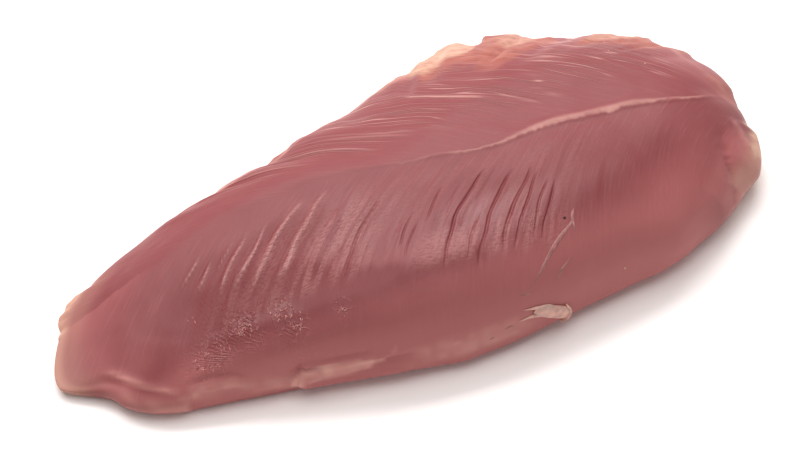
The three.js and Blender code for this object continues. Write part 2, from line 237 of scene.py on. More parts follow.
# The fine skin: columns and rows over the middle, crowded towards the seam, then rings down to the base.
COLUMNS = 640
ROWS = 90
ROW_CROWDING = 1.35
COLUMN_CROWDING = 0.11
SHEET_SHARE = 0.87
END_SHARE = 0.25
WALL_RINGS = 15
ROLL_RINGS = 5
BASE_RING_SHARES = (0.85, 0.6, 0.3)
BUNDLE_LEAN = {"near": 0.5, "far": 0.55}
LEAN_CURL = 0.35
LEAN_FADE = 1.5
NORMAL_STEP = 1e-3
SEAM_HALVINGS = 24

# The stage: where the camera looks, in millimetres, then the sizes and places of the soft lights and half
# the width of the table, in metres.
LOOK_AT = (-5.6, -9.0, 12.0)
SENSOR_WIDTH = 36
WINDOW = ((1.0, 0.18), (0.08, 0.41, 0.61))
FILL = ((1.4, 1.2), (0.0, 0.12, 1.2))
TABLE_HALF = 3.0

# How much of its height a strand stands above the skin, its least share of width, and a plain strand's
# shares of width.
STRAND_LIFT = 0.2
LEAST_WIDTH = 0.04
EVEN_TAPER = (0.0, 0.7, 1.0, 0.7, 0.0)
# The cut end of the tendon: each strand's points, width, height and shares of width.
TENDON_STUB = {
    "body": (((12.5, -51.4, 13), (16, -51.8, 11.6), (20, -52.2, 9.2), (23.2, -52.4, 6.9)), 4.6, 1.8,
             (0.25, 0.75, 0.95, 1.0, 0.9)),
    "upper_fork": (((9.5, -51.2, 15), (13, -51.2, 14), (17, -51.4, 12.8), (20, -52, 10.6)), 1.5, 1.0,
                   (0.1, 0.6, 1.0, 0.6)),
    "lower_fork": (((7.6, -51.8, 11.9), (11, -52, 11.9), (14, -52.2, 11.2), (18, -52.4, 9.4)), 1.2, 1.1,
                   (0.05, 0.7, 1.0, 0.6)),
    "rim": (((23.0, -52, 10.4), (24.1, -52, 7.6), (23.3, -52.3, 4.2), (21.6, -52.6, 3.4)), 1.2, 1.9,
            (0.5, 1.0, 1.0, 0.4)),
}
# Strands of membrane: their points, width and height.
MEMBRANE_STRANDS = (
    (((33, -38, 29), (30.9, -39.9, 28.1), (26.1, -42, 27), (21.3, -44.6, 25.1), (17.5, -46.8, 23.1),
      (12.4, -49, 19.8)), 1.3, 0.16),
    (((34.1, -36.3, 29.5), (32.4, -38.4, 28.8), (31.2, -42.2, 26.8)), 1.0, 0.15),
    (((27.5, -46.4, 23.3), (23.3, -48.2, 21.1), (20.6, -49.5, 18.9)), 0.9, 0.14),
    (((8.8, -49.3, 19.1), (11, -49.3, 19.2), (13.1, -49.7, 18.7)), 0.7, 0.16),
    (((3.1, -51.8, 10.6), (4.6, -51.6, 11), (6.2, -52, 10.7)), 0.7, 0.18),
    (((-1.6, -51.6, 8.8), (0, -51.7, 9.3)), 0.7, 0.18),
)
# Lumps on the skin: their place, size and flatness.
DARK_SPECK = ((30.2, -37.8, 29), 0.9, 0.3)
FAT_FLECKS = (((43, -51.1, 13.4), 0.8, 0.5), ((84, 3.5, 27), 0.5, 0.5), ((78, 14, 28), 0.5, 0.5))
DROP_RINGS = 4
DROP_SIDES = 10
# Clusters of torn threads: the middle, the spread and how many.
TORN_CLUSTERS = (
    ((-73.5, -24.2), (8.0, 3.6), 30),
    ((-62, -22.5), (5.0, 5.0), 18),
    ((-51.3, -26.5), (3.6, 6.0), 30),
    ((-37.5, -32.5), (1.8, 2.2), 4),
    ((-72.6, -10.5), (2.4, 1.6), 3),
)
TORN_DIRECTION = math.radians(-125)


def smoothstep(value, low, high):
    t = np.clip((value - low) / (high - low), 0, 1)
    return t * t * (3 - 2 * t)


def bell(value, half_width):
    return np.exp(-((value / half_width) ** 2))


def between(value, stations):
    """Rises over the first two stations and falls over the last two."""
    start, full, waning, end = stations
    return smoothstep(value, start, full) * (1 - smoothstep(value, waning, end))


def stretch(degrees, start, end, ramps):
    """A flat-topped window from start to end, with its two ramps inside it."""
    return between(degrees, (start, start + ramps[0], end - ramps[1], end))


def rim_patch(name, degrees, inward):
    """One of the pale patches along the rim."""
    strength, start, end, ramps, fade = RIM_PATCHES[name]
    return strength * stretch(degrees, start, end, ramps) * (1 - smoothstep(inward, *fade))


def skin_field(name, across, away):
    """One of the fields of the skin, from 0 outside it to its strength inside."""
    strength, span, depth = SKIN_FIELDS[name]
    return strength * between(across, span) * between(away, depth)


def along_stations(stations, x):
    """A smooth curve through stations, as a function of x."""
    places, values = stations[:, 0], stations[:, 1]
    at = np.clip(x, places[0], places[-1])
    i = np.clip(np.searchsorted(places, at, side="left") - 1, 0, len(places) - 2)
    before = np.maximum(np.arange(len(places)) - 1, 0)
    after = np.minimum(np.arange(len(places)) + 1, len(places) - 1)
    slopes = (values[after] - values[before]) / (places[after] - places[before])
    span = places[i + 1] - places[i]
    t = (at - places[i]) / span
    return (
        (2 * t**3 - 3 * t**2 + 1) * values[i]
        + (t**3 - 2 * t**2 + t) * span * slopes[i]
        + (3 * t**2 - 2 * t**3) * values[i + 1]
        + (t**3 - t**2) * span * slopes[i + 1]
    )


def curve_place(before, here, after, later, t):
    """The place at a share t from here to after, on a smooth curve through all four."""
    return (
        2 * here
        + (after - before) * t
        + (2 * before - 5 * here + 4 * after - later) * t**2
        + (3 * here - before - 3 * after + later) * t**3
    ) / 2


def closed_curve(points, steps):
    """Points on a smooth closed curve, steps of them in each span."""
    before, after, later = (np.roll(points, shift, axis=0)[:, None] for shift in (1, -1, -2))
    t = (np.arange(steps) / steps)[None, :, None]
    return curve_place(before, points[:, None], after, later, t).reshape(-1, points.shape[1])


def open_curve(points, steps):
    """Points on a smooth open curve through the given ones."""
    points = np.array(points, float)
    ends = np.concatenate([2 * points[:1] - points[1:2], points, 2 * points[-1:] - points[-2:-1]])
    spans = zip(ends, ends[1:], ends[2:], ends[3:])
    return [*(curve_place(*span, t) for span in spans for t in np.arange(steps) / steps), points[-1]]


def rounded_outline():
    """The outline's angles round its centre, and its points, in order."""
    points = closed_curve(OUTLINE, SPAN_STEPS)
    away = (points[:, :2] - OUTLINE_CENTRE) / (HALF_LENGTH, HALF_WIDTH)
    angles = np.arctan2(away[:, 1], away[:, 0])
    order = np.argsort(angles)
    return angles[order], points[order]


RIM_ANGLES, RIM_POINTS = rounded_outline()


def plain_rim(angle):
    """The outline at an angle, before its scraps: x, y and z."""
    return [np.interp(angle, RIM_ANGLES, RIM_POINTS[:, k], period=2 * math.pi) for k in range(3)]


def round_sides(sides, angle):
    """Blends the four sides' values round the outline."""
    along, across = np.cos(angle), np.sin(angle)
    by_width = np.where(across < 0, sides["near"], sides["far"])
    by_length = np.where(along < 0, sides["tail"], sides["head"])
    return by_width * across**2 + by_length * along**2


def inward_scale(angle):
    """How far in from the rim the whole radius share is worth."""
    return 1 / np.hypot(np.cos(angle) / HALF_LENGTH, np.sin(angle) / HALF_WIDTH)


def plan_point(angle, share):
    """The plan place at an angle and a radius share: an ellipse inside, the true outline at the rim."""
    degrees = np.degrees(angle)
    along, across = np.cos(angle), np.sin(angle)
    ellipse = (HALF_LENGTH * along * ELLIPSE_SHARE, HALF_WIDTH * across * ELLIPSE_SHARE)
    outward = np.stack([along / HALF_LENGTH, across / HALF_WIDTH])
    outward = outward / np.linalg.norm(outward, axis=0)
    rim = plain_rim(angle)
    standing = sum(
        out * stretch(degrees, start, end, ramps) for start, end, ramps, out in EDGE_PIECES.values()
    )
    return [
        OUTLINE_CENTRE[k]
        + ellipse[k] * share
        + (rim[k] - OUTLINE_CENTRE[k] - ellipse[k]) * share**OUTLINE_DEPTH
        + outward[k] * standing * share**EDGE_PIECE_DEPTH
        for k in range(2)
    ]


def top_point(angle, share):
    """The top skin without its relief."""
    x, y = plan_point(angle, share)
    inward = np.minimum((1 - share) * inward_scale(angle) / round_sides(TOP_ROLL, angle), 1)
    fullness = round_sides(TOP_FULLNESS, angle)
    roll = (1 - (1 - inward) ** fullness) ** (1 / fullness)
    low = plain_rim(angle)[2]
    rise = np.maximum(along_stations(CROWN, x) - low, LEAST_RISE)
    return np.stack([x, y, low + rise * roll], axis=-1)


def top_normal(angle, share):
    inner = np.maximum(share, NORMAL_STEP)
    outward = top_point(angle, inner) - top_point(angle, inner - NORMAL_STEP)
    around = top_point(angle + NORMAL_STEP, inner) - top_point(angle - NORMAL_STEP, inner)
    normal = np.cross(outward, around)
    return normal / np.linalg.norm(normal, axis=-1, keepdims=True)


def under_point(angle, down):
    """The roll under the rim, from the rim at 0 to the flat base at 1."""
    turn = down * math.pi / 2
    inward = round_sides(UNDER_ROLL, angle) * (1 - math.cos(turn))
    x, y = plan_point(angle, 1 - inward / inward_scale(angle))
    return np.stack([x, y, plain_rim(angle)[2] * (1 - math.sin(turn))], axis=-1)


def round_place(along, across):
    """Rounds a place on a square sheet, -1 to 1 both ways, to an angle and a radius share."""
    x = along * np.sqrt(1 - END_SHARE * across**2)
    y = across * np.sqrt(1 - (1 - END_SHARE) * along**2)
    return np.arctan2(y, x), SHEET_SHARE * np.minimum(np.hypot(x, y), 1)


def seam_row(along):
    """Where across the square sheet the seam lies."""
    near, far = np.full_like(along, -1.0), np.full_like(along, 1.0)
    for _ in range(SEAM_HALVINGS):
        middle = (near + far) / 2
        x, y = plan_point(*round_place(along, middle))
        below = y < along_stations(SEAM, x)
        near, far = np.where(below, middle, near), np.where(below, far, middle)
    return (near + far) / 2


def sheet_places():
    """Angles and shares of the sheet: its columns follow the bundles and its middle row the seam."""
    column, row = np.meshgrid(np.linspace(-1, 1, COLUMNS + 1), np.linspace(-1, 1, ROWS + 1))
    column = column - COLUMN_CROWDING * np.sin(math.pi * column)
    away = np.abs(row) ** ROW_CROWDING
    side = np.where(row < 0, BUNDLE_LEAN["near"], BUNDLE_LEAN["far"])
    along = column - side * (1 - column**2) ** LEAN_FADE * away * (1 - LEAN_CURL * away)
    seam = seam_row(along)
    return round_place(along, seam + np.where(row < 0, -(1 + seam), 1 - seam) * away)


class SkinPlaces:
    """What the relief and the masks need to know of each point of the skin."""

    def __init__(self, angle, share, point):
        self.x, self.y, self.z = point[:, 0], point[:, 1], point[:, 2]
        self.degrees = np.degrees(angle)
        self.inward = (1 - share) * inward_scale(angle)
        self.above_rim = self.z - plain_rim(angle)[2]
        self.off_seam = self.y - along_stations(SEAM, self.x)
        off_roots = self.y - along_stations(BUNDLE_ROOTS, self.x)
        self.away = np.abs(off_roots)
        self.is_near = off_roots < 0
        self.bundle = np.where(self.is_near, self.near_bundle(), self.far_bundle())
        # How far in from the far edge's crest, and how far below the seam, set back where the shoulder is.
        self.over_crest = self.inward - along_stations(FAR_CREST, self.degrees)
        self.below_shoulder = self.away - 0.4 * np.clip(self.bundle, -30, 20)

    def near_bundle(self):
        """Distance across the near half's bundles, which curve back from the seam."""
        return self.x + (1.33 - 0.0015 * self.x) * self.away - 0.01 * self.away**2

    def far_bundle(self):
        """Distance across the far half's bundles, which lie closer to the seam towards the tail."""
        return self.x + (1.25 + 0.02 * np.maximum(15 - self.x, 0)) * self.away


def lattice_noise(x, y, seed):
    """Smooth noise from -1 to 1, on a lattice with a spacing of 1."""
    lattice = np.random.default_rng(SEED + seed).uniform(-1, 1, (256, 256))
    i, j = np.floor(x).astype(int), np.floor(y).astype(int)
    u, v = x - i, y - j
    u, v = u * u * (3 - 2 * u), v * v * (3 - 2 * v)
    low = lattice[i % 256, j % 256] * (1 - u) + lattice[(i + 1) % 256, j % 256] * u
    high = lattice[i % 256, (j + 1) % 256] * (1 - u) + lattice[(i + 1) % 256, (j + 1) % 256] * u
    return low * (1 - v) + high * v


def minor_lines(seed, count, bundles, starts, lengths, half_widths, heights):
    """Seeded small lines along the bundles, in the same terms as the named ones."""
    random = np.random.default_rng(SEED + seed)
    start = random.uniform(*starts, count)
    return np.stack([
        random.uniform(*bundles, count), start, start + random.uniform(*lengths, count),
        random.uniform(*half_widths, count), random.uniform(*heights, count),
    ], axis=-1)


MINOR_RIDGES = minor_lines(32, 90, (-45, 62), (3, 26), (5, 18), (0.3, 0.5), (0.05, 0.16))
MINOR_GROOVES = minor_lines(33, 22, (-10, 60), (14, 30), (3, 10), (0.3, 0.4), (0.1, 0.3))


def line_fade(start, end):
    """How far in from its ends a line fades."""
    return min(5, (end - start) / 3)


def lines_relief(places, lines, wander, first=0):
    """Grooves or folds that follow the bundles, each wandering a little on its way."""
    total = np.zeros_like(places.x)
    for number, (bundle, start, end, half_width, height) in enumerate(lines, first):
        beside = np.abs(places.bundle - bundle) < 3 * half_width + 1.5 * wander
        near = np.flatnonzero(beside & (places.away > start) & (places.away < end))
        away, row = places.away[near], np.full(len(near), number * 3.7)
        waves = sum(size * np.sin(away / length + number * turn) for length, size, turn in WANDER_WAVES)
        swell = 1 + 0.35 * lattice_noise(away / 4, row + 1.6, 2)
        fade = line_fade(start, end)
        shows = between(away, (start, start + fade, end - fade, end))
        off_line = places.bundle[near] - bundle - wander * waves
        total[near] += height * swell * shows * bell(off_line, half_width)
    return total


def seam_relief(places, shape):
    """The tendon's low ridge along the seam, and the step down to the near half."""
    ridge = shape.seam_height * bell(places.off_seam - 1.5, 1.5) * between(places.x, TENDON_STANDS)
    near_side = 1 - smoothstep(places.off_seam, -1.6, 0.4)
    step = shape.seam_step * near_side * np.exp(-np.abs(places.off_seam) / 9)
    return between(places.x, SEAM_SHOWS) * (ridge - step)


def fibre_relief(places, shape):
    """The fine uneven run of small fibres, long and thin, with the bundles of the near half the coarser."""
    near = skin_field("near_fibres", places.x, places.away)
    far = skin_field("far_fibres", places.x, places.away)
    coarse = lattice_noise(places.bundle / 2.6, places.away / 22, 3)
    return shape.fibre_height * np.where(places.is_near, near, far) * coarse


def lump_relief(places):
    """Slow swells, soft dimples and the small unevenness of wet meat."""
    total = np.zeros_like(places.x)
    for length, across, phase, height in SWELLS:
        along = np.sin(2 * math.pi * places.x / length + phase)
        total += height * along * np.cos(2 * math.pi * places.y / across + phase)
    total += 0.22 * lattice_noise(places.x / 9, places.y / 7, 5)
    total += 0.06 * lattice_noise(places.x / 3.1, (places.y - places.z) / 2.7, 6)
    return total


def lip_relief(places):
    """The rolled lips along the bottom of the near wall, each with a crease above it."""
    total = np.zeros_like(places.x)
    for start, end, ramps, bulge, crease, crease_at in LIPS.values():
        shows = stretch(places.degrees, start, end, ramps)
        rise = bulge * bell(places.above_rim - LIP_HEIGHT, LIP_HALF_HEIGHT)
        fall = crease * bell(places.above_rim - crease_at, CREASE_HALF_WIDTH)
        total += shows * (rise - fall)
    return total


def crest_relief(places):
    """The uneven run of the far edge's crest."""
    waves = sum(height * bell(places.degrees - at, half_width) for at, half_width, height in CREST_WAVES)
    return waves * smoothstep(places.inward, -1.5, 1.5) * (1 - smoothstep(places.over_crest, 4, 16))


def trace_distance(places, points):
    """Distance of the skin's points from a line drawn on it, and how far along it they lie, 0 to 1."""
    here = np.stack([places.x, places.y, places.z], axis=-1)
    points = np.array(points, float)
    lengths = np.linalg.norm(np.diff(points, axis=0), axis=1)
    passed = np.concatenate([[0], np.cumsum(lengths)]) / lengths.sum()
    nearest, along = np.full(len(here), np.inf), np.zeros(len(here))
    for k, (start, end) in enumerate(zip(points[:-1], points[1:])):
        way = end - start
        share = np.clip((here - start) @ way / (way @ way), 0, 1)
        distance = np.linalg.norm(here - start - share[:, None] * way, axis=-1)
        closer = distance < nearest
        nearest = np.where(closer, distance, nearest)
        along = np.where(closer, passed[k] + share * (passed[k + 1] - passed[k]), along)
    return nearest, along


def trace_relief(places):
    """The creases and folds drawn on the skin one by one, each fading out at its ends."""
    total = np.zeros_like(places.x)
    for points, half_width, height in TRACES.values():
        distance, along = trace_distance(places, points)
        total += height * bell(distance, half_width) * between(along, (-0.15, 0.2, 0.65, 1.05))
    return total


def torn_mask(places):
    """The patches low on the near half where the thin membrane is torn."""
    return np.max([
        np.exp(-(((places.x - x) / length) ** 2 + ((places.y - y) / depth) ** 2))
        for x, y, length, depth in TORN_PATCHES
    ], axis=0)


def far_degrees(places):
    """Degrees round the outline, shifted to and fro down the far wall, for fat with ragged borders."""
    down = -np.minimum(places.over_crest + 2, 0)
    return places.degrees + (0.5 + 0.6 * down) * lattice_noise(places.z / 2.8, places.degrees / 9, 22)


def flap_degrees(places):
    """Degrees round the outline, shifted to and fro, for the ragged ends of the head's pale flap."""
    return places.degrees + 1.8 * lattice_noise(places.z / 3.2, places.y / 5, 23)


def fat_masks(places):
    """The salmon fat and the cream fat along the far edge, each with a ragged border."""
    ragged = 1.4 * lattice_noise(places.x / 3.0, places.y / 2.0, 11)
    ragged += 0.6 * lattice_noise(places.x, places.y, 13)
    degrees = far_degrees(places)
    inside = places.over_crest
    salmon = sum(depth * between(degrees, reach) for depth, reach in SALMON_FAT)
    cream = sum(depth * between(degrees, reach) for depth, reach in CREAM_FAT)
    shows = (places.degrees > FAR_CREST[0, 0]) & (places.degrees < FAR_CREST[-1, 0])
    outer = smoothstep(salmon - inside + ragged, -1.5, 4.0) * smoothstep(salmon, 0.3, 3.5) * shows
    palest = smoothstep(cream - inside + 0.6 * ragged, -1.2, 1.8) * smoothstep(cream, 0.1, 1.5) * shows
    upper_wall = smoothstep(inside + ragged, -14, -8)
    outer = np.maximum(outer, rim_patch("far_fat", degrees, inside) * upper_wall)
    tag_end = rim_patch("tag_end", degrees, inside) * upper_wall
    head_tag = rim_patch("head_tag", flap_degrees(places), places.inward + 0.5 * ragged)
    fringe = rim_patch("tail_fringe", places.degrees, places.inward + 0.5 * ragged)
    return outer, np.maximum.reduce([palest, head_tag, tag_end, fringe])


def relief(places, shape):
    """How far the skin is pushed out along its normal, in millimetres."""
    on_top = smoothstep(places.above_rim, 0.5, 6)
    near = np.where(places.is_near, 1.0, 0.0)
    minor = smoothstep(places.x, -80, -66)
    grooves = lines_relief(places, NEAR_GROOVES, GROOVE_WANDER)
    grooves += minor * lines_relief(places, MINOR_GROOVES, MINOR_WANDER)
    ridges = lines_relief(places, NEAR_RIDGES, RIDGE_WANDER)
    ridges += minor * lines_relief(places, MINOR_RIDGES, MINOR_WANDER)
    folds = lines_relief(places, FAR_FOLDS, FOLD_WANDER)
    top = (
        seam_relief(places, shape)
        + near * (shape.ridge_height * ridges - shape.groove_depth * grooves)
        + (1 - near) * shape.fold_height * folds
        + fibre_relief(places, shape)
        + lump_relief(places)
    )
    rough = 0.2 * torn_mask(places) * lattice_noise(places.bundle / 0.9, places.away / 3.5, 8)
    rough += 0.4 * fat_masks(places)[0] * lattice_noise(places.x / 2.6, places.y / 2.2, 16)
    frayed = stretch(places.degrees, 146, 166, (3, 3)) * (1 - smoothstep(places.inward, 0, 3))
    rough += 0.7 * frayed * lattice_noise(places.y / 1.6, places.z / 1.6, 19)
    return on_top * top + rough + crest_relief(places) + trace_relief(places) + lip_relief(places)


def skin_points(angle, share, shape):
    """The top skin with its relief."""
    point = top_point(angle, share)
    places = SkinPlaces(angle, share, point)
    return point + top_normal(angle, share) * relief(places, shape)[:, None]


def grid_faces():
    """The sheet's quads, and its edge, counter-clockwise."""
    index = np.arange((ROWS + 1) * (COLUMNS + 1)).reshape(ROWS + 1, COLUMNS + 1)
    faces = np.stack([index[:-1, :-1], index[:-1, 1:], index[1:, 1:], index[1:, :-1]], axis=-1)
    edge = np.concatenate([index[0, :-1], index[:-1, -1], index[-1, :0:-1], index[:0:-1, 0]])
    return faces.reshape(-1, 4), edge


def ring_faces(inner, outer):
    return np.stack([inner, outer, np.roll(outer, -1), np.roll(inner, -1)], axis=-1)


def skin_mesh(shape):
    """Points, faces, angles and shares of the whole closed skin, in millimetres."""
    angle, share = (part.ravel() for part in sheet_places())
    faces, edge = grid_faces()
    points, angles, shares, quads = [skin_points(angle, share, shape)], [angle], [share], [faces]
    ring_angle, ring = angle[edge], edge
    count = len(angle)

    def add_ring(ring_points, ring_share):
        nonlocal ring, count
        points.append(ring_points)
        angles.append(ring_angle)
        shares.append(np.full_like(ring_angle, ring_share))
        outer = count + np.arange(len(ring_angle))
        quads.append(ring_faces(ring, outer))
        ring = outer
        count += len(outer)

    for level in range(1, WALL_RINGS + 1):
        place = 1 - (1 - SHEET_SHARE) * (1 - level / WALL_RINGS) ** 2
        add_ring(skin_points(ring_angle, np.full_like(ring_angle, place), shape), place)
    for level in range(1, ROLL_RINGS + 1):
        add_ring(under_point(ring_angle, level / ROLL_RINGS), 1.0)
    foot = points[-1]
    centre = np.array([*OUTLINE_CENTRE, 0.0])
    for inset in BASE_RING_SHARES:
        add_ring(centre + (foot - centre) * inset, inset)
    points.append(centre[None])
    angles.append(np.zeros(1))
    shares.append(np.zeros(1))
    fan = np.stack([ring, np.full_like(ring, count), np.roll(ring, -1)], axis=-1)
    points, quads, angles, shares = (np.concatenate(parts) for parts in (points, quads, angles, shares))
    return points, quads, fan, angles, shares


def mesh_object(name, vertices, faces, material):
    """A smooth mesh object in metres, from points in millimetres."""
    mesh = bpy.data.meshes.new(name)
    mesh.from_pydata((np.asarray(vertices) * MM).tolist(), [], [list(map(int, face)) for face in faces])
    mesh.materials.append(material)
    mesh.shade_smooth()
    piece = bpy.data.objects.new(name, mesh)
    bpy.context.scene.collection.objects.link(piece)
    return piece


def dress(piece):
    """Lets a piece ride with the meat."""
    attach(piece, "root")


def edge_mask(places):
    """The thin pale membrane outside the crest of the far edge, in slivers, fainter round the head."""
    inside = places.over_crest
    along = between(places.degrees, (-24, -12, 134, 146)) * (0.3 + 0.7 * smoothstep(places.degrees, 8, 26))
    broken = 0.35 + 0.65 * smoothstep(lattice_noise(places.degrees / 2.4, inside / 5, 18), -0.4, 0.3)
    slivers = 0.5 * between(inside, (-4.0, -2.8, -1.8, -0.4)) * broken
    fringe = 0.6 * stretch(far_degrees(places), 109, 129, (4, 4)) * between(inside, (-13, -7, -5, -1.5))
    return np.maximum(along * np.maximum(slivers, fringe), rim_patch("flap_end", places.degrees, inside))


def thin_mask(places):
    """Where the meat is so thin, or so bare of lean, that light comes through it."""
    tail_side = np.maximum(smoothstep(places.degrees, 140, 152), 1 - smoothstep(places.degrees, -176, -168))
    thick = 0.65 * smoothstep(places.inward, 0.5, 4.0) + 0.35 * smoothstep(places.inward, 4.0, 10)
    tail = (1 - thick) * tail_side * (1 - smoothstep(places.x, -90, -70))
    return np.maximum(tail, rim_patch("thin_flap", flap_degrees(places), places.inward))


def painted_wall_light_mask(places):
    """Painted light on the wall under the shoulder of the near half, as bounced from the table, brightest
    under the head.
    """
    along = (0.45 + 0.55 * smoothstep(places.x, -94, -78)) * between(places.x, (-108, -98, 60, 100))
    reach = 19 + 8 * (1 - smoothstep(places.x, -82, -64))
    low = 0.8 * (1 - smoothstep(places.inward, 2, reach)) * along
    head = 0.85 * between(places.x, (0, 24, 68, 94)) * (1 - smoothstep(places.above_rim, 8, 22))
    flap = rim_patch("flap_wall_painted_light", places.degrees, places.inward)
    return np.maximum.reduce([low, head, flap]) * places.is_near


def pale_lip_and_painted_light_mask(places):
    """The pale rolled lips along the bottom of the near wall and the membrane of the far edge, with painted
    light on the head flap and a painted highlight on the tail fold's crest.
    """
    off_pale, along_pale = trace_distance(places, TRACES["pale_lip"][0])
    off_faint, _ = trace_distance(places, TRACES["faint_lip"][0])
    off_fold, along_fold = trace_distance(places, TRACES["tail_fold"][0])
    off_flap, _ = trace_distance(places, TRACES["flap_edge"][0])
    taper = 1 - 0.55 * smoothstep(along_pale, 0.45, 0.9)
    tail = stretch(places.degrees, -176, -146, (22, 1.5)) * between(places.above_rim, (-6, -3, 2.0, 4.2))
    trail = stretch(places.degrees, -108, -78, (10, 12)) * between(places.above_rim, (0, 3, 6, 10))
    lips = np.maximum.reduce([
        (1.1 - 0.4 * smoothstep(along_pale, 0.7, 1)) * (1 - smoothstep(off_pale, taper, 2.6 * taper)),
        0.5 * bell(off_faint, 2.0),
        0.42 * tail,
        # A painted highlight along the tail fold's crest.
        0.5 * bell(off_fold, 0.8) * between(along_fold, (0, 0.3, 0.8, 1)),
        0.4 * trail,
        0.35 * bell(off_flap, 1.3),
        # The head flap's lip patch is painted light on the shaded flap.
        *(rim_patch(name, places.degrees, places.inward) for name in ("flap_lip_painted_light", "head_lip", "tongue_tip")),
    ])
    patchy = 0.85 + 0.4 * lattice_noise(places.x / 2.2, places.z / 1.6, 14)
    return np.clip(np.maximum(patchy * lips, edge_mask(places)), 0, 1)


def seam_mask(places):
    """The pale tendon that shows along the seam, broad in the middle and thin towards both ends."""
    ragged = 0.3 * lattice_noise(places.x / 4, places.y / 2, 12)
    ragged += 0.15 * lattice_noise(places.x / 1.1, places.y / 2, 21)
    width = 0.5 + 2.4 * between(places.x, TENDON_BROAD)
    band = smoothstep(places.off_seam + 1.5 * ragged, -0.6, 0.3)
    band *= 1 - smoothstep(places.off_seam + ragged, 0.35 * width, width)
    return band * between(places.x, TENDON_SHOWS) * (0.85 + ragged)


def crepe_mask(places):
    """The finely crinkled, wet skin of the near half's shoulder, smoother in its upper head part."""
    names = ("crinkled_tail", "crinkled_low", "crinkled_all")
    return np.max([skin_field(name, places.bundle, places.away) for name in names], axis=0) * places.is_near


def wrinkle_mask(places):
    """The fine pale wrinkles of the far half."""
    on_top = between(places.x, (-66, -30, 84, 100)) * smoothstep(places.away, 7, 16)
    return on_top * smoothstep(places.over_crest, -8, -2) * ~places.is_near


def ridge_mask(places):
    """The narrower of the raised bundles on the tail side of the near half."""
    return np.clip(lines_relief(places, NEAR_RIDGES[1:], RIDGE_WANDER, first=1) / 0.5, 0, 1) * places.is_near


def hollow_shade_mask(places):
    """Painted shade in the hollows between the raised bundles."""
    return skin_field("hollows", places.bundle, places.away) * (1 - ridge_mask(places)) * places.is_near


def sheen_mask(places):
    """The wettest skin: the middle of the near half's shoulder and the raised bundles beside it."""
    ragged = places.bundle + 3 * lattice_noise(places.bundle / 5, places.away / 8, 17)
    shoulder = skin_field("wet_shoulder", ragged, places.below_shoulder)
    shoulder *= 1 - 0.6 * between(ragged, (4, 12, 22, 29))
    return np.maximum(shoulder * places.is_near, ridge_mask(places))


def crease_mask(places):
    """The shaded bottoms of the creases."""
    depth = np.zeros_like(places.x)
    for points, half_width, height in TRACES.values():
        if height < 0:
            distance, along = trace_distance(places, points)
            shade = -1.6 * height * bell(distance, half_width) * between(along, (0, 0.3, 0.8, 1))
            depth = np.maximum(depth, shade)
    return np.clip(depth, 0, 1)


def painted_shade_mask(places):
    """Painted shade, dark and red, on the near half: under the seam towards the head, and below the
    shoulder.
    """
    head = skin_field("painted_shade_head", places.x, places.away)
    middle = skin_field("painted_shade_middle", places.bundle, places.away)
    ragged = 1.5 * lattice_noise(places.bundle / 2.5, places.away / 20, 20)
    belt = smoothstep(places.below_shoulder + ragged, 27.5, 32) * smoothstep(places.inward, 10, 23)
    belt *= 1.2 * between(places.x, (-78, -64, -4, 30))
    return np.clip(np.maximum.reduce([head, middle, belt]), 0, 1) * places.is_near


def pink_edge_and_highlight_mask(places):
    """The pinker meat towards the head end's far edge, with a painted highlight along that edge."""
    return between(places.degrees, (-20, -6, 48, 60)) * (1 - smoothstep(places.over_crest, 0, 12))


def far_mask(places):
    """The far half, with its border blurred towards the tail, where the seam doesn't show."""
    blur = 14 * (1 - smoothstep(places.x, -80, -30))
    return smoothstep(places.off_seam, -1.0 - blur, 0.6 + blur)


MASKS = {
    "thin": thin_mask, "lip": pale_lip_and_painted_light_mask, "wall": painted_wall_light_mask, "tendon": seam_mask, "torn": torn_mask,
    "painted_shade": painted_shade_mask, "far": far_mask, "pink_edge_and_highlight": pink_edge_and_highlight_mask, "crepe": crepe_mask, "wrinkles": wrinkle_mask,
    "creases": crease_mask, "ridges": ridge_mask, "hollows": hollow_shade_mask, "sheen": sheen_mask,
}


def paint_masks(piece, places):
    """Stores what the meat's finish varies with."""
    masks = {name: mask(places) for name, mask in MASKS.items()}
    masks["salmon_fat"], masks["cream_fat"] = fat_masks(places)
    for name, values in masks.items():
        attribute = piece.data.attributes.new(name, "FLOAT", "POINT")
        attribute.data.foreach_set("value", np.asarray(values, np.float32))
    bundles = np.stack([places.bundle, places.away, np.zeros_like(places.away)], axis=-1)
    attribute = piece.data.attributes.new("bundles", "FLOAT_VECTOR", "POINT")
    attribute.data.foreach_set("vector", bundles.astype(np.float32).ravel())


